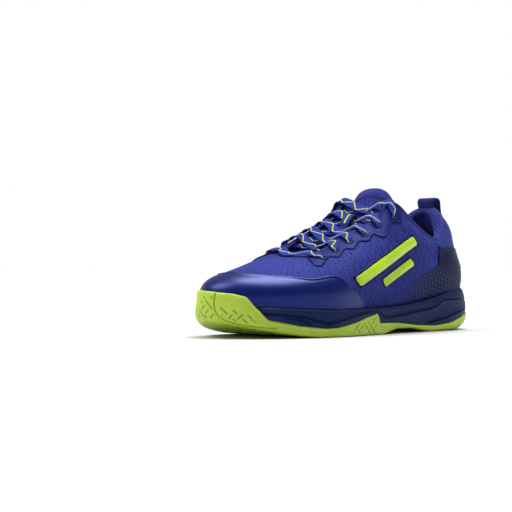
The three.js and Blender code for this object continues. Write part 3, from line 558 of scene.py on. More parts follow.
class Nodes:
    """Adds nodes to a tree. Inputs are given by name or number."""

    def __init__(self, tree):
        self.tree = tree

    def feed(self, socket, value):
        value = value.socket if isinstance(value, Field) else value
        if isinstance(value, bpy.types.NodeSocket):
            self.tree.links.new(value, socket)
        else:
            socket.default_value = value

    def node(self, kind, inputs=(), **settings):
        node = self.tree.nodes.new("ShaderNode" + kind)
        for setting, value in settings.items():
            setattr(node, setting, value)
        for socket, value in dict(inputs).items():
            self.feed(node.inputs[socket], value)
        return node

    def field(self, kind, inputs, output=0, **settings):
        return Field(self, self.node(kind, inputs, **settings).outputs[output])

    def math(self, operation, *values):
        return self.field("Math", enumerate(values), operation=operation)


class Paint(Nodes):
    """A node material. What is the same all over the surface sits on the shader's own sockets."""

    def __init__(self, name, roughness, gloss=0.5, tint=(1, 1, 1), sheen=0.0, sheen_roughness=0.5):
        self.material = bpy.data.materials.new(name)
        self.material.use_nodes = True
        super().__init__(self.material.node_tree)
        self.sockets = self.tree.nodes["Principled BSDF"].inputs
        constants = {"Roughness": roughness, "Specular IOR Level": gloss, "Specular Tint": (*tint, 1)}
        if sheen:
            constants |= {"Sheen Weight": sheen, "Sheen Roughness": sheen_roughness, "Sheen Tint": (*tint, 1)}
        for socket, value in constants.items():
            self.sockets[socket].default_value = value

    def mix(self, factor, a, b):
        return self.node("Mix", {0: factor, 6: a, 7: b}, data_type="RGBA").outputs[2]

    def marks(self):
        """The piece's own pattern coordinates, in mm."""
        vector = self.node("Attribute", attribute_name="pattern").outputs["Vector"]
        return [Field(self, axis) for axis in self.node("SeparateXYZ", {0: vector}).outputs]

    def place(self):
        """Position in the frame."""
        return self.node("TexCoord").outputs["Object"]

    def noise(self, scale, detail):
        return self.field("TexNoise", {"Vector": self.place(), "Scale": scale, "Detail": detail}, "Fac")

    def patchy(self, colour, scale, detail, low, high, dark, light):
        """Soft patches of the colour times dark and times light."""
        patches = self.noise(scale, detail).step(low, high)
        return self.mix(patches, shade(colour, dark), shade(colour, light))

    def colour(self, value):
        self.feed(self.sockets["Base Color"], value)

    def bump(self, height, distance, strength=1.0):
        """Relief, on top of what is there. The distance is in mm."""
        node = self.node("Bump", {"Height": height, "Distance": distance * MM, "Strength": strength})
        for link in self.sockets["Normal"].links:
            self.feed(node.inputs["Normal"], link.from_socket)
        self.feed(self.sockets["Normal"], node.outputs[0])

    def cell(self, x, y, width, height):
        """Distances from the middle of brick-laid cells, and the cell's own random number."""
        column = (x / width).floor()
        shifted = y + column % 2 * (height / 2)
        row = (shifted / height).floor()
        across, up = x - (column + 0.5) * width, shifted - (row + 0.5) * height
        place = self.node("CombineXYZ", {"X": column, "Y": row}).outputs[0]
        return across, up, self.field("TexWhiteNoise", {"Vector": place}, "Value")


def shade(colour, factor=1.0):
    return tuple(c * factor for c in colour) + (1,)


def cloth_grain(x, y, pitch=0.9):
    """A fine knit: columns of small loops, as a height from 0 to 1."""
    return x.wave(pitch) * y.wave(pitch) * 0.5 + 0.5


FILM_TINT = (0.4, 0.5, 1)  # of the gloss on dark film
CLOTH_TINT = (0.5, 0.55, 1)


def mesh_paint(name, colour, cell, slot, slant, chance):
    """Knitted cloth with rows of slanted laser slots: cell and slot are (across, up) in mm. The slots are only
    bumped, with near-black paint as painted shade inside them.
    """
    paint = Paint(name, 0.75, 0.15, (0.4, 0.45, 1), sheen=0.08)
    x, y, _ = paint.marks()
    wander = paint.noise(45, 1) * 2.5
    across, up, luck = paint.cell(x - y * slant + wander, y, *cell)
    beyond = (abs(up) - slot[1] / 2).math("MAXIMUM", 0.0)
    away = (across**2 + beyond**2).math("SQRT")
    hole = away.step(slot[0] / 2 + 0.2, slot[0] / 2 - 0.25) * (luck < chance)
    grain = cloth_grain(x, y)
    cloth = paint.patchy(colour, 14, 3, 0.3, 0.75, 0.85, 1.15)
    cloth = paint.mix(grain * 0.35, cloth, shade(colour, 0.55))
    # Painted shade: the slots are darkened to a tenth of the cloth's colour.
    paint.colour(paint.mix(hole * 0.88, cloth, shade(colour, 0.1)))
    paint.bump(grain, 0.12, 0.6)
    paint.bump(1.0 - hole, 0.9)
    return paint.material


def film_paint(name, colour, roughness, gloss, tint):
    """Smooth moulded film, with a faint grain and soft changes of shade."""
    paint = Paint(name, roughness, gloss, tint)
    paint.colour(paint.patchy(colour, 22, 2, 0.3, 0.75, 0.88, 1.12))
    paint.bump(paint.noise(2600, 2), 0.05, 0.5)
    return paint.material


def chevron_paint(name, colour, mark_colour):
    """Dark film printed with staggered rows of small arrowheads. Towards the front it fades into the mesh."""
    paint = Paint(name, 0.55, 0.07, FILM_TINT)
    x, y, _ = paint.marks()
    across, up, luck = paint.cell(x - y * 0.55, y, 4.8, 4.6)
    arms = abs(abs(up) + across).step(0.6, 0.35) * abs(up).step(1.75, 1.6)
    near = x.math("PINGPONG", ARC_LENGTH[-1] / 2).step(150, 60)  # mm from the heel, either way
    seen = arms * (luck < 0.93) * (near * 0.6 + 0.25)
    base = paint.patchy(colour, 30, 2, 0.3, 0.7, 0.85, 1.15)
    base = paint.mix(near, shade(BLUE, 0.75), base)
    paint.colour(paint.mix(seen, base, shade(mark_colour)))
    paint.bump(seen, 0.25)
    paint.bump(paint.noise(2400, 2), 0.05, 0.4)
    return paint.material


def badge_paint(name, colour):
    """Dark patch with rows of small sunk squares over its lower half, darkened inside by painted shade."""
    paint = Paint(name, 0.45, 0.09, FILM_TINT)
    x, y, _ = paint.marks()
    across, up, luck = paint.cell(x, y, 4.2, 3.6)
    square = abs(across).math("MAXIMUM", abs(up)).step(1.2, 0.9)
    pit = square * (luck < 0.8) * y.step(60, 57)
    # Painted shade: the sunk squares are darkened to 0.3 of the patch's colour.
    paint.colour(paint.mix(pit, shade(colour), shade(colour, 0.3)))
    paint.bump(1.0 - pit, 0.5)
    return paint.material


def foam_paint(name, colour):
    """Moulded midsole foam: satin skin with fine grain and faint scuffs."""
    paint = Paint(name, 0.5, 0.16, (0.6, 0.7, 1))
    paint.colour(paint.patchy(colour, 60, 5, 0.45, 0.75, 0.92, 1.25))
    paint.bump(paint.noise(1500, 3), 0.08, 0.5)
    paint.bump(paint.noise(90, 2), 0.25, 0.25)
    return paint.material


def rubber_paint(name, colour, engraved=True):
    """Gum rubber, with painted shade in the strokes and the groove that are cut into it."""
    paint = Paint(name, 0.48, 0.3)
    paint.sockets["Subsurface Weight"].default_value = 0.04
    base = paint.patchy(colour, 35, 3, 0.3, 0.75, 0.93, 1.08)
    if engraved:
        # Painted shade: the cut depth darkens the rubber towards 0.4 of its colour.
        depth = paint.marks()[2].step(0.15, 0.75)
        base = paint.mix(depth * 0.7, base, shade(colour, 0.4))
    paint.colour(base)
    paint.bump(paint.noise(1800, 2), 0.05, 0.5)
    return paint.material


def knit_paint(name, colour, cell, depth=0.8):
    """Spacer knit: staggered rows of small oval cells, darkened inside by painted shade."""
    paint = Paint(name, 0.85, 0.12, CLOTH_TINT, sheen=0.12, sheen_roughness=0.45)
    x, y, _ = paint.marks()
    across, up, _ = paint.cell(x, y, cell, cell * 1.25)
    well = ((across / (cell * 0.5)) ** 2 + (up / (cell * 0.62)) ** 2).step(0.85, 0.2)
    grain = cloth_grain(x, y, 0.7)
    base = paint.mix(grain * 0.3, shade(colour, 1.1), shade(colour, 0.7))
    # Painted shade: the cells are darkened towards 0.3 of the colour, by depth.
    paint.colour(paint.mix(well * depth, base, shade(colour, 0.3)))
    paint.bump(1.0 - well, depth * 0.7)
    paint.bump(grain, 0.08, 0.5)
    return paint.material


def webbing_paint(name, colour):
    """Woven tape, with fine ribs across it: painted shade in the hollows between the threads and painted
    highlight on their tops.
    """
    paint = Paint(name, 0.7, 0.2, CLOTH_TINT, sheen=0.08)
    x, y, _ = paint.marks()
    height = x.wave(0.9) * y.wave(0.7) * 0.5 + 0.5
    # Painted shade and highlight: the colour follows the weave's height, darker low and lighter high.
    paint.colour(paint.mix(height, shade(colour, 0.7), shade(colour, 1.25)))
    paint.bump(height, 0.18)
    return paint.material


def lace_paint(name, colour, thread):
    """Flat braid: fine herringbone, with one bright thread that zigzags from edge to edge in small steps. The
    herringbone has painted shade in its hollows and painted highlight on its ridges.
    """
    paint = Paint(name, 0.72, 0.2, CLOTH_TINT, sheen=0.06)
    x, y, _ = paint.marks()
    height = (x + abs(y) * 0.9).wave(1.1) * 0.5 + 0.5
    swing = (x.math("SNAP", 0.9) / 10.5).math("PINGPONG", 1.0)
    line = abs(y - (swing * 6.4 - 3.2)).step(0.75, 0.5)
    # Painted shade and highlight: the braid's colour follows its height, darker low and lighter high.
    base = paint.mix(height, shade(colour, 0.65), shade(colour, 1.2))
    paint.colour(paint.mix(line, base, shade(thread)))
    paint.bump(height + line, 0.16)
    return paint.material


def plain_paint(name, colour, roughness, grain_scale, grain_depth):
    """A hidden or small piece: speckled colour and a grain of its own."""
    paint = Paint(name, roughness)
    paint.colour(paint.mix(paint.noise(grain_scale, 3), shade(colour, 0.8), shade(colour, 1.2)))
    paint.bump(paint.noise(grain_scale * 1.7, 2), grain_depth)
    return paint.material


LIME = (0.44, 0.6, 0.055)
BLUE = (0.022, 0.032, 0.225)
NAVY = (0.007, 0.016, 0.07)

# Several paints carry painted shade: in the mesh's slots, the knit's cells, the badge's squares, the rubber's
# cuts and the weave's hollows, with painted highlight on the weave's ridges.
PAINTS = {
    "vamp": mesh_paint("vamp_mesh", BLUE, (5.0, 5.4), (0.9, 1.3), 0.35, 0.8),
    "quarter": mesh_paint("quarter_mesh", BLUE, (4.4, 11.5), (0.9, 7.2), 0.5, 0.8),
    "toe": film_paint("toe_film", (0.001, 0.007, 0.09), 0.36, 0.75, (0.24, 0.3, 1.0)),
    "eyestay": film_paint("eyestay_film", (0.005, 0.011, 0.11), 0.5, 0.12, (0.3, 0.36, 1.0)),
    "heel": chevron_paint("heel_film", (0.005, 0.011, 0.06), (0.09, 0.095, 0.095)),
    "badge": badge_paint("badge_film", (0.003, 0.007, 0.048)),
    "midsole": foam_paint("midsole_foam", NAVY),
    "outsole": rubber_paint("outsole_rubber", LIME),
    "tread": rubber_paint("tread_rubber", LIME, engraved=False),
    "emblem": film_paint("emblem_rubber", (0.42, 0.64, 0.015), 0.28, 0.5, (1, 1, 0.85)),
    "collar": knit_paint("collar_knit", (0.032, 0.041, 0.25), 3.2, 0.9),
    "cuff": knit_paint("cuff_knit", (0.036, 0.045, 0.26), 1.6, 0.7),
    "tongue": mesh_paint("tongue_cloth", (0.029, 0.039, 0.24), (4.4, 4.6), (1.3, 2.2), -0.5, 0.9),
    "webbing": webbing_paint("tab_webbing", (0.008, 0.017, 0.14)),
    "keeper": webbing_paint("keeper_webbing", (0.02, 0.028, 0.2)),
    "lace": lace_paint("lace_weave", (0.009, 0.025, 0.24), (0.5, 0.47, 0.05)),
    "piping": webbing_paint("piping_cord", (0.033, 0.042, 0.25)),
    "aglet": plain_paint("aglet_plastic", (0.62, 0.66, 0.78), 0.2, 400, 0.05),
    "sockliner": knit_paint("sockliner_cloth", (0.02, 0.028, 0.17), 1.6),
    "foam": plain_paint("open_foam", (0.6, 0.62, 0.68), 0.9, 900, 0.4),
    "board": plain_paint("fibre_board", (0.66, 0.62, 0.52), 0.85, 500, 0.15),
    "nylon": plain_paint("shank_nylon", (0.02, 0.022, 0.03), 0.35, 300, 0.05),
    "lining": knit_paint("tongue_lining", (0.04, 0.05, 0.3), 2.0),
}

# ---------------------------------------------------------------- sole

# Sculpted grooves in the midsole's side, as (k of the half last, height).
HEEL_GROOVE = [(0.5, 24.8), (1.6, 28.5), (2.62, 28), (3.1, 22.6), (3.5, 20.6), (5.14, 16.2)]
LOW_GROOVE = [(1.4, 19.5), (2.62, 11.8), (3.6, 8.6)]
GROOVES_LATERAL = [
    [(9.35, 11), (9.94, 15.8), (10.3, 17.5), (10.86, 19), (11.5, 20.7)],
    [*HEEL_GROOVE, (6.4, 14), (6.7, 17.5), (7.2, 20), (8.18, 17.4), (8.74, 14.2), (9.35, 11)],
    LOW_GROOVE,
    [(9.94, 11.5), (10.2, 14.5), (10.6, 16.6)],
]
GROOVES_MEDIAL = [[*HEEL_GROOVE, (6.4, 15), (7.7, 17)], LOW_GROOVE]


def groove_depth(k, z):
    """How deep, from 0 to 1, the sculpted grooves cut at points of the midsole's side."""
    depth = np.zeros(np.broadcast(k, z).shape)
    for medial, grooves in ((False, GROOVES_LATERAL), (True, GROOVES_MEDIAL)):
        for groove in grooves:
            away = side_distance(groove, k, z)
            cut = bell(away, 0.95) - 0.35 * bell(away - 1.9, 0.7)
            depth = np.where((is_medial(k) == medial) & (np.abs(cut) > np.abs(depth)), cut, depth)
    return depth * (0.35 + 0.65 * smooth(half_k(k), 0.9, 2.2))


def midsole():
    """The foam shell, open inside: its sculpted side wall, its rim and the floor inside it."""
    ks = np.linspace(0, MERIDIANS, 900, endpoint=False)[:, None]
    edge, top = edge_height(ks), top_of_cup(ks)
    covered = smooth(edge, top - 6, top - 3)  # where the outsole's wrap hides the midsole
    rim = top - 1.2 * covered
    low = np.minimum(edge - 1.5, rim - 4)
    t = np.concatenate([np.linspace(0, 0.9, 60), 0.9 + 0.1 * np.linspace(0.12, 1, 8)])
    z = mix(low, rim, t)
    bulge = 0.4 * np.sin(np.pi * t) - 0.6 * smooth(0.35 - t, 0, 0.35)
    shoulder = 2.2 * (1 - quarter_round((1 - t) / 0.16))
    lean = 3.6 * (1 - smooth(half_k(ks), 1.2, 4)) * t**1.8
    out = lip(ks) - 0.3 + bulge * (1 - covered) - shoulder - lean - (WRAP + 0.6) * covered
    out = np.maximum(out - 1.3 * groove_depth(ks, z) * (1 - covered), 0.6)
    wall = outline(ks, out, z)
    under = outline(ks, lip(ks) - 4, low)
    inside = outline(ks, 1.0, rim - 0.6)
    floor = outline(ks, 0.9, along(FOOTBED, wall[:, :1, 1]))
    rings = np.concatenate([under, wall, inside, floor], 1)
    return loft("midsole_shell", rings, PAINTS["midsole"], closed=True)


def tread_height(ks, inset):
    """Height of the underside below the outline, inset from the outsole's lip."""
    return ground(outline(ks, lip(ks) - inset, 0)[..., 1])


# The outsole's columns are close together where it is engraved: (k from, k to, spacing).
OUTSOLE_COLUMNS = [(0, 6.6, 0.04), (6.6, 8.7, 0.018), (8.7, 10.7, 0.04), (10.7, 18, 0.018), (18, 26, 0.04)]
CUT_DEPTH = 0.8
WALL = WRAP + 0.2  # from the wrap's face to its hidden side
TOP_ROUND = 0.7  # the top edge is rounded from this far down
BEAD_DROP, BEAD_OUT = 1.6, 0.35  # the bead runs this far under the top edge


def outsole():
    """The wrap round the side: rounded bottom edge, side wall with a beaded top, and inner face."""
    ks = np.concatenate([np.arange(*span) for span in OUTSOLE_COLUMNS])[:, None]
    bevel = along(TREAD_BEVEL, half_k(ks))
    edge, top = edge_height(ks), top_of_cup(ks)
    floor = tread_height(ks, 0)
    rise = np.minimum(rounded_along(BEVEL_RISE, half_k(ks), 0.3), edge - floor - 1.6)
    turn = np.linspace(0, np.pi / 2, 22)
    round_z = mix(tread_height(ks, bevel), floor + rise, 1 - np.cos(turn))
    round_cut = engraving(ks, round_z, edge, floor)
    base = outline(ks, lip(ks) - bevel * (1 - np.sin(turn)) - CUT_DEPTH * round_cut, round_z)
    z = mix(floor + rise, edge - TOP_ROUND, np.linspace(0, 1, 44)[1:])
    cut = engraving(ks, z, edge, floor)
    wall = wrap_point(ks, z, CUT_DEPTH * cut - BEAD_OUT * bell(edge - BEAD_DROP - z, 0.8), top)
    turn = np.linspace(0, np.pi, 8)[1:]
    crown = wrap_point(ks, edge - TOP_ROUND + 0.8 * np.sin(turn), (1 - np.cos(turn)) * WALL / 2, top)
    inner_low = floor + np.maximum(2.5, 0.8 * rise)
    inner = wrap_point(ks, mix(inner_low, edge - TOP_ROUND, np.linspace(1, 0, 8)[1:]), WALL, top)
    rings = np.concatenate([base, wall, crown, inner], 1)
    # The marks' third axis carries the cut depth, from which the paint adds painted shade in the cuts.
    marks = np.zeros(rings.shape)
    cuts = np.concatenate([round_cut, cut], 1)
    marks[:, : cuts.shape[1], 2] = cuts
    return loft("outsole_wrap", rings, PAINTS["outsole"], closed=True, pattern=marks)


# The groove that frames the toe guard's front and sweeps back along its lower edge, as (k, height).
TOE_GROOVE = [
    (12.66, 36), (12.66, 28), (12.6, 22), (12.48, 17.5), (12.25, 13.8), (11.9, 11.2), (11.4, 9.2), (10.9, 8),
]
STROKE_CELL, STROKE_HALF_LENGTH, STROKE_HALF_WIDTH = 5.0, 2.3, 0.5


def engraving(k, z, edge, floor):
    """How deep, from 0 to 1, the wrap is cut by the toe guard's groove and by short strokes at right angles."""
    away = side_distance(TOE_GROOVE, k, z)
    groove = bell(away, 0.75) * ~is_medial(k)
    round_shoe = np.interp(k, ARC_K, ARC_LENGTH)
    across, up = (round_shoe + z) * math.sqrt(0.5), (round_shoe - z) * math.sqrt(0.5)
    column, row = np.floor(across / STROKE_CELL), np.floor(up / STROKE_CELL)
    luck = np.mod(np.sin(column * 12.9898 + row * 78.233) * 43758.5453, 1)  # one number for each cell
    x, y = across - (column + 0.5) * STROKE_CELL, up - (row + 0.5) * STROKE_CELL
    upright = luck > 0.5
    wide, long = np.abs(np.where(upright, x, y)), np.abs(np.where(upright, y, x))
    stroke = 1 - smooth(wide, STROKE_HALF_WIDTH - 0.2, STROKE_HALF_WIDTH + 0.25)
    stroke = stroke * (1 - smooth(long, STROKE_HALF_LENGTH - 0.3, STROKE_HALF_LENGTH + 0.1))
    stroke = stroke * (np.mod(luck * 7.3, 1) < 0.95) * engraved_zone(k, z, edge, floor) * smooth(away, 1.5, 2.2)
    return np.maximum(groove, stroke)


def engraved_zone(k, z, edge, floor):
    """1 where the wrap carries strokes: low on the toe guard and on the side supports."""
    at = half_k(k)
    front = smooth(at, 12.62, 12.7)
    toe = smooth(at, 10.6, 11.1) * smooth(edge - z, mix(11, 3.5, front), mix(12, 4.5, front))
    lateral = smooth(at, 6.84, 6.95) * (1 - smooth(at, 8.1, 8.6)) * ~is_medial(k)
    medial = smooth(at, 8.05, 8.2) * (1 - smooth(at, 10.4, 10.8)) * is_medial(k)
    support = (lateral + medial) * smooth(edge - z, 1.2, 2.2)
    return np.clip(toe + support, 0, 1) * smooth(z, floor + 0.6, floor + 1.6)


def wrap_point(k, z, depth, top):
    """A point of the outsole's wall, depth in from its face. Above the cup it leans onto the upper."""
    straight = outline(k, lip(k) - depth, z)
    leaning = upper(k, level_at(k, np.maximum(z, top + 0.2)), 2.9 - depth)
    leaning[..., 2] = z
    return mix(straight, leaning, smooth(z, top - 7, top + 7)[..., None])


def lengthways(end, near_ends, between):
    """k of the half last from heel to toe, close together near both ends."""
    stops = [np.linspace(end, 1, near_ends)[:-1], np.linspace(1, 12, between)[:-1]]
    return np.concatenate([*stops, np.linspace(12, 13 - end, near_ends)])


def across_grid(ks, inset, columns):
    """Points across the shoe between its two sides, one row for each k of the half last, and s from -1 to 1."""
    s = np.sin(np.linspace(-np.pi / 2, np.pi / 2, columns))
    right, left = (outline(k, inset, 0)[:, None] for k in (ks, MERIDIANS - ks))
    return mix(left, right, (s[:, None] + 1) / 2), s


def at_height(grid, z):
    return np.concatenate([grid[..., :2], z[..., None]], -1)


RIB_CENTRES = ((2, -45), (0, 105))  # (x, y) of the rings of ribs under the forefoot and the heel
RIB_SPACING, RIB_DEPTH, SPOKES = 7.5, 1.3, 16
TREAD_THICK, TREAD_CLEAR = 2.6, 0.02  # the clearance is over the ground
WAIST = 40  # y of the smooth waist, between the forefoot's ribs and the heel's


def tread():
    """The underside, with a gum-sole pattern: fine ribs on the forefoot and heel, and a smooth waist."""
    ks = lengthways(0.02, 30, 330)
    grid, s = across_grid(ks, lip(ks) - along(TREAD_BEVEL, ks) + 0.3, 120)
    x, y = grid[..., 0], grid[..., 1]
    front = y < WAIST
    (front_x, front_y), (heel_x, heel_y) = RIB_CENTRES
    centre_y = np.where(front, front_y, heel_y)
    radius = np.hypot(x - np.where(front, front_x, heel_x), y - centre_y)
    ribs = smooth(np.cos(2 * np.pi * radius / RIB_SPACING), 0.55, 0.8)
    spokes = smooth(np.cos(np.arctan2(x - front_x, y - centre_y) * SPOKES), 0.93, 0.98)
    zone = (1 - smooth(y, 6, 16)) + smooth(y, 66, 76)
    sunk = RIB_DEPTH * zone * np.maximum(ribs, spokes * np.where(front, radius > 9, 1))
    low = ground(y) + TREAD_CLEAR + sunk * smooth(1 - np.abs(s), 0.01, 0.05)
    high = ground(y) + TREAD_THICK
    return plate("outsole_tread", at_height(grid, high), at_height(grid, low), PAINTS["tread"])


SOCKLINER_INSET, SOCKLINER_LIFT, SOCKLINER_THICK = 5.2, 2.35, 3.9  # the lift is over the footbed


def sockliner():
    """The loose insole: a cupped heel, a raised medial arch and a dish under the heel."""
    grid, s = across_grid(lengthways(0.03, 16, 110), -SOCKLINER_INSET, 44)
    y = grid[..., 1]
    base = along(FOOTBED, y) + SOCKLINER_LIFT
    wall = smooth(np.abs(s), 0.72, 1.0)
    cup = 2.6 * wall * smooth(y, -20, 60) * (1 - 0.3 * smooth(y, 120, 140))
    arch = 1.5 * smooth(-s, 0.3, 1.0) * smooth(y, -30, 20) * (1 - smooth(y, 60, 95))
    dish = -0.9 * bell(y - 105, 26) * (1 - wall)
    edge = 1.2 * smooth(np.abs(s), 0.965, 1.0)
    top = at_height(grid, base + SOCKLINER_THICK + cup + arch + dish - edge)
    bottom = at_height(grid, base + edge * 0.4)
    return plate("sockliner_pad", top, bottom, PAINTS["sockliner"], at_height(grid, 0 * y), body="insert")


# ---------------------------------------------------------------- upper

SIDES = {1: "lateral", -1: "medial"}
FILM_LOW = -0.1  # level of the lower edge of films that go down into the sole's cup
EYESTAY_TOP = 0.992  # level of the eyestays' edge along the throat
BEAD = 0.3  # height of the lip inside the edge of the toe guard and the eyestays


def skin(name, k_from, k_to, paint):
    """One panel of the mesh upper: outer face, rolled top edge and inner face."""
    ks = np.linspace(k_from, k_to, int(abs(k_to - k_from) / 0.05) + 1)[:, None]
    v = np.array([-0.35, *np.linspace(-0.05, 0.97, 58), 0.985])
    turn = np.linspace(0, np.pi, 7)
    roll_v = 1.0 + 0.5 * SKIN * np.sin(turn) / meridian_length(ks)
    inner_v = v[:2:-3]
    outer = upper(ks, v, skin_height(ks, v))
    roll = upper(ks, roll_v, -0.5 * SKIN * (1 - np.cos(turn)))
    marks = [cloth_pattern(ks, at) for at in (v, np.ones(7), inner_v)]
    rings = np.concatenate([outer, roll, upper(ks, inner_v, -SKIN)], 1)
    return loft(name, rings, paint, pattern=np.concatenate(marks, 1))


# The section of an eyelet's rim and bore, as (radius, height).
EYELET_SECTION = [
    (2.1, -2.4), (2.4, 0.5), (2.7, 1.25), (3.2, 1.45), (3.75, 1.2), (4.0, 0.7), (3.6, 0.2), (2.9, -2.4),
]


def eyelet_rims(side):
    """The raised rim and the dark bore of each lace hole, as turned rings."""
    ks, vs = np.array(EYELETS).T
    ks = side_k(ks, side)
    radius, height = np.array(EYELET_SECTION).T[..., None]
    turn = np.linspace(0, 2 * np.pi, 33)[:-1, None, None]
    solids = []
    for centre, normal in zip(sheet(ks, vs), sheet_normal(ks, vs)):
        first = unit(np.cross(normal, [0, 0, 1.0]))
        spoke = np.cos(turn) * first + np.sin(turn) * np.cross(normal, first)
        solids.append(centre + height * normal + radius * spoke)
    return loft("eyelet_rims_" + SIDES[side], solids, PAINTS["eyestay"], closed=True)


def eyestay(side):
    ends = side_k(10.5, side), side_k(5.5, side)
    return film("eyestay_film_" + SIDES[side], *ends, lambda k: rounded_along(EYESTAY_EDGE, half_k(k)),
                lambda k: EYESTAY_TOP, FILM, PAINTS["eyestay"], bead=BEAD, spacing=0.02, rows=20)


def heel_film(side):
    ends = side_k(0.35, side), side_k(6.0, side)
    return film("heel_film_" + SIDES[side], *ends, lambda k: FILM_LOW, heel_top, 0.4, PAINTS["heel"])


def toe_top(k):
    return by_side(k, TOE_TOP_LATERAL, TOE_TOP_MEDIAL, 0.15, 0.15)


def heel_top(k):
    return by_side(k, HEEL_TOP_LATERAL, HEEL_TOP_MEDIAL, 0.15, 0.15)


def on_side(y, z):
    """(k, v) of the points of the lateral side at (y, z), by Newton's method."""
    k = np.interp(-y, [-140, 40], [0.8, 8.4])
    v = np.clip((z - 24) / 70, 0.1, 0.9)
    for _ in range(12):
        p = sheet(k, v)
        dk = (sheet(k + STEP, v) - p) / STEP
        dv = (sheet(k, v + STEP) - p) / STEP
        ry, rz = y - p[..., 1], z - p[..., 2]
        det = dk[..., 1] * dv[..., 2] - dk[..., 2] * dv[..., 1]
        k = k + np.clip((ry * dv[..., 2] - rz * dv[..., 1]) / det, -1, 1)
        v = np.clip(v + np.clip((rz * dk[..., 1] - ry * dk[..., 2]) / det, -0.2, 0.2), 0.01, 0.98)
    return k, v


def emblem_bar(name, start, end, width, paint, ridge=1.5, face=0.5):
    """A raised bar with a ridge along it and bevelled ends, straight in the side view."""
    t = np.array([0, 0.012, 0.03, *np.linspace(0.06, 0.94, 50), 0.97, 0.988, 1])[:, None]
    s = np.array([-1, -0.9, -0.7, -0.35, 0, 0.35, 0.7, 0.9, 1])
    k, v = on_side(mix(start[0], end[0], t) + 0.45 * width * s, mix(start[1], end[1], t) - 0.5 * width * s)
    ends = smooth(np.minimum(t, 1 - t), 0, 0.03)
    crown = ridge * (1 - np.abs(s)) ** 0.8 + face * quarter_round((1 - np.abs(s)) / 0.15)
    height = 0.15 + crown * (0.2 + 0.8 * ends)
    base = skin_height(k, v)
    return plate(name, upper(k, v, base + height), upper(k, v, base - FILM_UNDER), paint, sharp=24)


def collar():
    """The padded lining: over the top edge, swelling over its foam and down to the sockliner."""
    ks = np.linspace(-COLLAR_FRONT, COLLAR_FRONT, 300)[:, None]
    turn = np.linspace(0, np.pi, 12)
    radius = (lining_depth(ks, 1.0) + 0.8) / 2
    length = meridian_length(ks)
    roll = upper(ks, 1.0 + 0.42 * radius * np.sin(turn) / length, 0.25 - radius * (1 - np.cos(turn)))
    v = np.linspace(0.985, 0.02, 60)
    pleats = 0.15 * np.sin(ks * 40) * smooth(v, 0.5, 0.7)
    outer = upper(ks, v, -lining_depth(ks, v) - 0.8 + pleats)
    back = upper(ks, v[::-1], -SKIN - 0.15)
    rings = np.concatenate([roll, outer, back], 1)
    marks = np.zeros(rings.shape)
    marks[..., 0] = ks * MM_PER_K
    over = radius * turn
    marks[..., 1] = np.concatenate([over, over[:, -1:] + (1 - v) * length, (1 - v[::-1]) * length], 1)
    piece = loft("collar_pad", rings, PAINTS["collar"], pattern=marks)
    return piece


PIPING_LEVEL, PIPING_SIZE = 0.972, 1.3


def piping():
    """The thin cord sewn along the collar's edge."""
    ks = np.linspace(-COLLAR_FRONT - 0.1, COLLAR_FRONT + 0.1, 90)
    line = upper(ks, PIPING_LEVEL, skin_height(ks, PIPING_LEVEL) + 0.25)
    knots = [(at, across, PIPING_SIZE, PIPING_SIZE) for at, across in zip(line, unit(sheet_up(ks, 0.97)))]
    return strap("collar_piping", knots, PAINTS["piping"], 2, round_section())


# ---------------------------------------------------------------- tongue and lace

TONGUE_LINE = [
    (-68, 55), (-58, 59.7), (-41, 66), (-22, 75), (0, 85), (20, 96.5), (31, 104.3), (38, 112.5),
    (42, 120), (44, 127.5),
]
TONGUE_HALF = [(-68, 13), (-58, 17), (-41, 23), (-22, 26), (0, 27), (20, 27), (33, 26), (44, 25)]
TONGUE_DROP = 0.0095  # how fast its sides fall, per mm of x squared
TONGUE_ROLL = 0.16  # its slope to the medial side, low on the tongue
TONGUE_THICK = 4.4
TONGUE_TOP = 44  # y of its top edge
CUFF_SEAM = 41.3  # y of the seam under the knitted cuff


def curve_along(table, x):
    """A cubic through the table's points."""
    xs, ys = (np.array(c, float) for c in zip(*table))
    before, after = np.maximum(np.arange(len(xs)) - 1, 0), np.minimum(np.arange(len(xs)) + 1, len(xs) - 1)
    slopes = (ys[after] - ys[before]) / (xs[after] - xs[before])
    x = np.asarray(x, float)
    i = np.clip(np.searchsorted(xs, x, side="left") - 1, 0, len(xs) - 2)
    span = xs[i + 1] - xs[i]
    t = (x - xs[i]) / span
    bend = slopes[i] * span * t * (1 - t) ** 2 - slopes[i + 1] * span * t**2 * (1 - t)
    return ys[i] * (1 + 2 * t) * (1 - t) ** 2 + ys[i + 1] * t**2 * (3 - 2 * t) + bend


def tongue_point(s, y, depth):
    """A point of the tongue: s across it, y along it, and depth down from its face."""
    s, y, depth = same_shape(s, y, depth)
    z = curve_along(TONGUE_LINE, y)
    slope = curve_along(TONGUE_LINE, y + 0.5) - curve_along(TONGUE_LINE, y - 0.5)
    x = s * along(TONGUE_HALF, y)
    roll = TONGUE_ROLL * (1 - smooth(y, 20, 38))
    tilt = np.hypot(1, slope)
    fall = TONGUE_DROP * x * x * (1 + 0.9 * smooth(y, 28, 40))
    n = unit(np.stack([2 * TONGUE_DROP * x + roll, -slope / tilt, 1 / tilt], -1))
    p = np.stack([along(THROAT_LINE, y) + x, y + fall * slope / tilt / 1.6, z - fall / tilt - roll * x], -1)
    return p - n * depth[..., None]


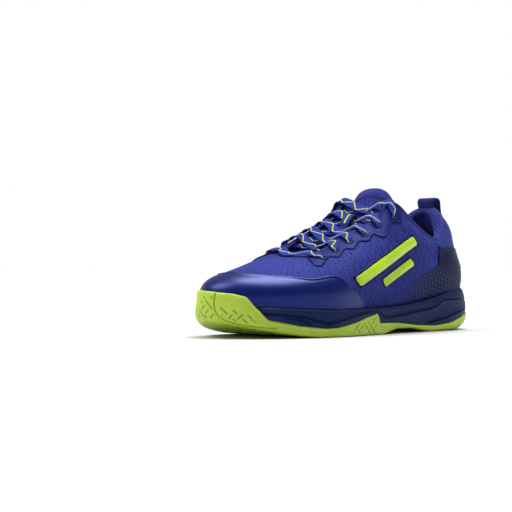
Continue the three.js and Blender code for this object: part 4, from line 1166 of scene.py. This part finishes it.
def tongue():
    """The padded tongue, with a knitted cuff above its seam and its own lining on the underside."""
    y = np.array([*np.linspace(-66, 34, 130), *np.linspace(34.4, TONGUE_TOP, 70)])[:, None]
    s = np.sin(np.linspace(-np.pi / 2, np.pi / 2, 48))
    end = smooth(TONGUE_TOP - y, 0, 1.6) * 0.5 + 0.5 * quarter_round((TONGUE_TOP - y) / 1.4)
    side = quarter_round((1 - np.abs(s)) / 0.08)
    cuff = smooth(y, CUFF_SEAM, CUFF_SEAM + 0.8)
    swell = 0.5 * (1 - s**2) + 0.9 * cuff - 1.1 * bell(y - CUFF_SEAM, 0.28)
    half = TONGUE_THICK / 2
    thick = (half + 0.4 * swell) * (0.15 + 0.85 * side) * (0.1 + 0.9 * end)
    corner = np.where(s > 0, 0.36, 0.14) * np.abs(s) ** 3  # the top's corners are rounded off
    plan = np.where(y > 34, 34 + (y - 34) * (1 - corner), y)
    spread = s * (1 + 0.28 * smooth(y, 33, 42) * (s < 0))  # and it leans to the medial side
    top, bottom = (tongue_point(spread, plan, depth) for depth in (half - thick, half + thick))
    run = lengths(np.concatenate([y, curve_along(TONGUE_LINE, y)], 1))
    marks = np.stack(same_shape(s * 26, run[:, None], 0), -1)
    piece = plate("tongue", top, bottom, PAINTS["tongue"], marks, body=None)
    for paint in ("cuff", "lining"):
        piece.data.materials.append(PAINTS[paint])
    columns = 2 * len(s)
    for index, face in enumerate(piece.data.polygons):
        row, column = divmod(index, columns)
        if row >= len(y) - 1:
            break  # only the ends are left
        if y[row, 0] > CUFF_SEAM:
            face.material_index = 1
        elif column >= len(s):
            face.material_index = 2
    return piece


def eyelet_k(row, side):
    return side_k(EYELETS[row][0], side)


def up_throat(start, end):
    """The direction across the lace, pointing up the throat."""
    travel = unit(end - start)
    y = (start[1] + end[1]) / 2
    lift = np.array([0, 1, float(curve_along(TONGUE_LINE, y + 1) - curve_along(TONGUE_LINE, y))])
    return unit(lift - travel * (lift @ travel))


LACE_WIDTH, LACE_THICK, LACE_IN_HOLE = 8.2, 1.1, 4.4
SLANT = 0.16
BAR_Y, BAR_HEIGHT = -57, 8.3  # middle of the straight bar that closes the throat's front
LACE_OVER = FILM + GAP  # height of the lace's underside over the eyestay
LACE_HIGH, LACE_LOW = 3.6, 1.7  # heights over the tongue where two crossings meet
THREADED = (LACE_IN_HOLE, LACE_THICK + 0.3)  # width and thickness where it goes down a hole
PULLED_UP = (LACE_IN_HOLE, LACE_THICK + 0.5)  # and where it comes up from under one
FLAT = (LACE_WIDTH, LACE_THICK)


def crossing(row, side, over):
    """Knots from under the edge at one eyelet, over the tongue, into the next eyelet of the other side."""
    k0, v0 = eyelet_k(row, side), EYELETS[row][1]
    k1, v1 = eyelet_k(row + 1, -side), EYELETS[row + 1][1]
    across = up_throat(sheet(k0, v0), sheet(k1, v1))
    under = upper(k0 - 0.6 * side * SLANT, mix(v0, 0.985, 0.55), -SKIN - 2)
    edge_out = upper(k0 - side * SLANT, 0.985, -SKIN - 1.7)
    edge_in = upper(k1 - side * SLANT, 0.995, LACE_OVER + 1.3)
    middle = tongue_point(0, (edge_out[1] + edge_in[1]) / 2, -LACE_HIGH if over else -LACE_LOW)
    return [
        (upper(k0, v0, -SKIN - 1.2), across, *PULLED_UP),
        *((at, across, *FLAT) for at in (under, edge_out, middle, edge_in)),
        (upper(k1 - side * 0.06, mix(v1, 0.97, 0.55), LACE_OVER + 1.4), across, 7.2, LACE_THICK),
        (upper(k1 - side * 0.01, v1 + 0.01, LACE_OVER + 0.6), across, 5.6, LACE_THICK + 0.3),
        (upper(k1, v1 - 0.012, -0.8), across, *THREADED),
    ]


def aglet_axis(side):
    seat = tongue_point(side * 0.78, 25, -2.1)
    return seat, unit(tongue_point(side * 0.3, 22.8, -1.9) - seat)


def tail(side):
    """Knots from the last eyelet to the end that is tucked into the aglet."""
    k, v = eyelet_k(-1, side), EYELETS[-1][1]
    across = up_throat(sheet(k, v), sheet(MERIDIANS - k, v))
    seat, away = aglet_axis(side)
    return [
        (upper(k, v, -SKIN - 1.2), across, *PULLED_UP),
        (upper(k + side * 0.2, mix(v, 1, 0.45), -SKIN - 1.9), across, 3.6, LACE_THICK),
        (seat - 1.7 * away, across, 2.2, LACE_THICK + 0.4),
    ]


def front_bar(side, across):
    """Knots up from the first eyelet onto the straight bar across the throat's front."""
    k, v = eyelet_k(0, side), EYELETS[0][1]
    return [
        (upper(k, v - 0.012, -0.8), across, *THREADED),
        (upper(k + side * 0.06, v + 0.01, LACE_OVER + 0.6), across, 5.6, LACE_THICK + 0.3),
        (upper(k + side * 0.5, mix(v, 0.99, 0.5), LACE_OVER + 1.3), across, 7.4, LACE_THICK),
        (upper(k + side * 1.2, 0.99, LACE_OVER + 1.8), across, *FLAT),
    ]


def lace():
    """One cord: both halves criss-cross up from the straight bar at the front, and end in the aglets."""
    half_a, half_b = [], []
    for row in range(len(EYELETS) - 1):
        side = 1 if row % 2 == 0 else -1
        half_a += crossing(row, side, side > 0)
        half_b += crossing(row, -side, side < 0)
    across = up_throat(*(sheet(eyelet_k(0, side), EYELETS[0][1]) for side in SIDES))
    front = (tongue_point(0, BAR_Y, -BAR_HEIGHT), across, *FLAT)
    bar = front_bar(1, across) + [front] + front_bar(-1, across)[::-1]
    return strap("lace_cord", tail(-1)[::-1] + half_a[::-1] + bar + half_b + tail(1), PAINTS["lace"], 8)


# An aglet from its open end, as (distance, radius).
AGLET = [(0, 0.2), (0.1, 1.15), (0.6, 1.25), (1, 1.1), (1.6, 1.25), (9.6, 1.15), (10.4, 0.95), (10.9, 0.4)]


def aglet(side):
    seat, away = aglet_axis(side)
    first = unit(np.cross(away, [0, 0, 1.0]))
    knots = [(seat + d * away, first, 2 * r, 2 * r) for d, r in AGLET]
    return strap("aglet_tip_" + SIDES[side], knots, PAINTS["aglet"], 3, round_section(16))


# The lace loop over the tongue, as (y, height above the tongue). Its stripe follows STRIPE of its knots.
KEEPER = [
    (4.4, 0.9), (6.6, 1.2), (8.6, 2.9), (10.2, 4.9), (13, 6.6), (16, 7.9), (19, 8.1), (21.2, 5.4),
    (23, 1.5), (25, 0.9),
]
STRIPE = slice(3, 7)


def keeper():
    """The lace loop on the tongue, and the bright stripe along it."""
    across = unit(np.array([1, 0, -TONGUE_ROLL]))
    knots = [(tongue_point(0, y, -height), across, 9.5, 0.9) for y, height in KEEPER]
    mark = [(tongue_point(0, y, -height - 0.55), across, 1.6, 0.3) for y, height in KEEPER[STRIPE]]
    strap("lace_loop", knots, PAINTS["keeper"], 8)
    strap("lace_loop_stripe", mark, PAINTS["emblem"], 8)


# ---------------------------------------------------------------- pull tab

TAB_Y, TAB_Z = 122, 112.6  # the loop's middle
TAB_REACH, TAB_REACH_IN, TAB_RISE = 6.5, 4.4, 7.6  # its reach back, forwards and up
TAB_WIDTH, TAB_THICK = 18, 1.5
TAB_SEAM = 7.2  # x of the stitches on both sides of its outer leg
TAB_LEG = [(0.75, 0.4), (0.8, 0.9), (0.86, 1.3), (0.92, 1.4)]  # levels and heights of the leg up the heel


def pull_tab():
    """One length of webbing: sewn up the back of the heel, over in a loop, and down into the collar's pad."""
    outer = [upper(0.0, v, height + skin_height(0.0, v)) for v, height in TAB_LEG]
    arch = []
    for a in np.radians(np.arange(8, 173, 12)):
        back = math.copysign(abs(math.cos(a)) ** 0.55, math.cos(a))
        reach = TAB_REACH if back > 0 else TAB_REACH_IN
        arch.append(np.array([0, TAB_Y + reach * back, TAB_Z + TAB_RISE * math.sin(a) ** 0.55]))
    inner = [upper(0.0, v, -4.6) for v in (0.97, 0.92, 0.87)]
    knots = [(p, (1.0, 0, 0), TAB_WIDTH, TAB_THICK) for p in [*outer, *arch, *inner]]
    return strap("pull_tab_webbing", knots, PAINTS["webbing"], 6, body=None)


# ---------------------------------------------------------------- the shoe

midsole()
outsole()
tread()
sockliner()
skin("vamp_cloth", SEAM, MERIDIANS - SEAM, PAINTS["vamp"])
skin("quarter_cloth_lateral", SEAM, 0.0, PAINTS["quarter"])
skin("quarter_cloth_medial", MERIDIANS - SEAM, MERIDIANS, PAINTS["quarter"])
film("toe_film_shell", 7.5, MERIDIANS - 7, lambda k: FILM_LOW, toe_top, FILM, PAINTS["toe"],
     bead=BEAD, spacing=0.05, rows=30)
for build in (eyestay, eyelet_rims, heel_film):
    for side in SIDES:
        build(side)
badge_low, badge_high = (functools.partial(rounded_along, table) for table in (BADGE_LOW, BADGE_HIGH))
film("heel_badge_patch", 0.6, 3.0, badge_low, badge_high, FILM, PAINTS["badge"])
film("back_tape_strip", -0.4, 0.4, lambda k: 0.02, lambda k: 0.74, FILM + 0.2, PAINTS["webbing"])
collar()
piping()
# The emblem's bars, as (y, z) of both ends, each on a wider and longer base.
for size, start, end, width in (("long", (-33, 44), (52, 80), 7.4), ("short", (4, 43), (47, 61.5), 6.4)):
    past = 1.6 * unit(np.subtract(end, start))
    emblem_bar("emblem_ridge_" + size, start, end, width, PAINTS["emblem"])
    emblem_bar("emblem_base_" + size, start - past, end + past, width + 2.4, PAINTS["badge"], 0.0, 0.45)
tongue()
lace()
keeper()
for side in SIDES:
    aglet(side)
pull_tab()
for side, word in SIDES.items():
    vs = np.linspace(0.77, 0.9, 10)
    stitches("tab_stitches_" + word, 0, vs, along(TAB_LEG, vs) + TAB_THICK / 2 + 0.1, TAB_SEAM * side, 1.6)
stitches("collar_stitches", np.linspace(-5.6, 5.6, 96), 0.93, 0.05)

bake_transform(PIECES["tongue"])
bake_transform(PIECES["pull_tab_webbing"])

# Each piece's slot, and the frame's nodes that it stands for.
ROLES = {
    "midsole_shell": ("midsole_foam", "midsole"),
    "outsole_wrap": ("outsole_rubber", "outsole"),
    "outsole_tread": ("outsole_rubber",),
    "sockliner_pad": ("sockliner_cloth", "sockliner"),
    "vamp_cloth": ("upper_mesh", "vamp"),
    "quarter_cloth_lateral": ("upper_mesh", "quarter_lateral"),
    "quarter_cloth_medial": ("upper_mesh", "quarter_medial"),
    "toe_film_shell": ("overlay_film", "toe_overlay"),
    "eyestay_film_lateral": ("overlay_film", "eyestay_lateral"),
    "eyestay_film_medial": ("overlay_film", "eyestay_medial"),
    "eyelet_rims_lateral": ("overlay_film",),
    "eyelet_rims_medial": ("overlay_film",),
    "heel_film_lateral": ("heel_film", "heel_overlay_lateral"),
    "heel_film_medial": ("heel_film", "heel_overlay_medial"),
    "heel_badge_patch": ("heel_film", "heel_badge"),
    "back_tape_strip": ("webbing", "back_tape"),
    "collar_pad": ("knit", "collar_lining", "collar_foam"),
    "collar_piping": ("webbing",),
    "emblem_ridge_long": ("emblem_rubber", "emblem_bar_long"),
    "emblem_ridge_short": ("emblem_rubber", "emblem_bar_short"),
    "emblem_base_long": ("heel_film",),
    "emblem_base_short": ("heel_film",),
    "tongue": ("knit", "tongue_cover", "tongue_foam", "tongue_lining", "tongue_cuff"),
    "lace_cord": ("lace_weave", "lace"),
    "lace_loop": ("webbing", "lace_keeper"),
    "lace_loop_stripe": ("webbing",),
    "aglet_tip_lateral": ("aglet_plastic", "aglet_lateral"),
    "aglet_tip_medial": ("aglet_plastic", "aglet_medial"),
    "pull_tab_webbing": ("webbing", "heel_tab", "tab_leg_outer", "tab_leg_inner"),
    "tab_stitches_lateral": ("webbing",),
    "tab_stitches_medial": ("webbing",),
    "collar_stitches": ("webbing",),
}
for name, (slot, *nodes) in ROLES.items():
    if nodes:
        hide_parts(*nodes)

KEPT_NODES = {
    "shank": "nylon",
    "heel_cushion": "foam",
    "insole_board": "board",
    "toe_puff": "board",
    "heel_counter": "board",
}
for node, paint_name in KEPT_NODES.items():
    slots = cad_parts[node].data.materials
    for index in range(len(slots)):
        slots[index] = PAINTS[paint_name]

# ---------------------------------------------------------------- floor, light and camera

FLOOR_SIZE = 30.0


def pale_floor():
    """White paper under the shoe. Away from the shoe it glows, so that it meets the white background."""
    paint = Paint("pale_floor", 0.6, 0.2)
    paint.colour(paint.mix(paint.noise(3, 2), (0.63, 0.63, 0.64, 1), (0.67, 0.67, 0.67, 1)))
    away = paint.field("VectorMath", {0: paint.place()}, "Value", operation="LENGTH")
    paint.feed(paint.sockets["Emission Strength"], away.step(0.12, 0.5) * 0.85)
    paint.sockets["Emission Color"].default_value = (1, 1, 1, 1)
    bpy.ops.mesh.primitive_plane_add(size=FLOOR_SIZE, location=(0, 0, -0.0002))
    floor = bpy.context.object
    floor.name = "floor"
    floor.data.materials.append(paint.material)


BACKDROP_DIRECTION = (-0.72, 0.69, 0)  # from the shoe to the white backdrop


def studio_world():
    """A soft room: a white backdrop low down behind the shoe, and dim walls and ceiling elsewhere."""
    world = bpy.data.worlds.new("studio")
    world.use_nodes = True
    room = Nodes(world.node_tree)
    direction = room.node("TexCoord").outputs["Generated"]
    across = {0: direction, 1: BACKDROP_DIRECTION}
    behind = room.field("VectorMath", across, "Value", operation="DOT_PRODUCT")
    low_down = behind.ramp(0.1, 0.6, 0.3, 1.0)
    background = world.node_tree.nodes["Background"].inputs
    background["Color"].default_value = (1, 1, 1, 1)
    height = room.field("SeparateXYZ", {0: direction}, "Z")
    room.feed(background["Strength"], height.ramp(0.2, 0.32, low_down, 0.2))
    bpy.context.scene.world = world


def area_light(name, place, target, size, power):
    light = bpy.data.lights.new(name, "AREA")
    light.shape, light.size, light.energy = "DISK", size, power
    holder = bpy.data.objects.new(name, light)
    holder.location = place
    holder.rotation_euler = (Vector(target) - Vector(place)).to_track_quat("-Z", "Y").to_euler()
    bpy.context.scene.collection.objects.link(holder)


# The camera stands level with the instep, in front of the shoe's lateral side.
CAMERA = {"azimuth": 46.0, "pitch": -0.496, "distance": 1200.0, "aside": -72.0, "height": 56.0}
FOCAL_LENGTH = 1385 * 36 / 512  # for the 36 mm sensor


def camera():
    a, e = math.radians(CAMERA["azimuth"]), math.radians(CAMERA["pitch"])
    back = Vector((math.sin(a) * math.cos(e), -math.cos(a) * math.cos(e), math.sin(e)))
    right = Vector((math.cos(a), math.sin(a), 0))
    up = back.cross(right)
    rise = (CAMERA["height"] - CAMERA["distance"] * math.sin(e)) / math.cos(e)
    place = (back * CAMERA["distance"] + right * CAMERA["aside"] + up * rise) * MM
    data = bpy.data.cameras.new("camera")
    data.lens, data.sensor_width = FOCAL_LENGTH, 36
    data.clip_start, data.clip_end = 0.05, 50
    holder = bpy.data.objects.new("camera", data)
    holder.location = place
    holder.rotation_mode = "QUATERNION"
    holder.rotation_quaternion = (-back).to_track_quat("-Z", "Y")
    bpy.context.scene.collection.objects.link(holder)
    bpy.context.scene.camera = holder


pale_floor()
area_light("key", (-0.6, -0.8, 1.3), (0, 0, 0.05), 0.9, 15)
area_light("overhead", (0.0, 0.3, 1.4), (0, 0, 0.05), 1.1, 30)
studio_world()
bpy.context.scene.view_settings.view_transform = "Standard"
camera()
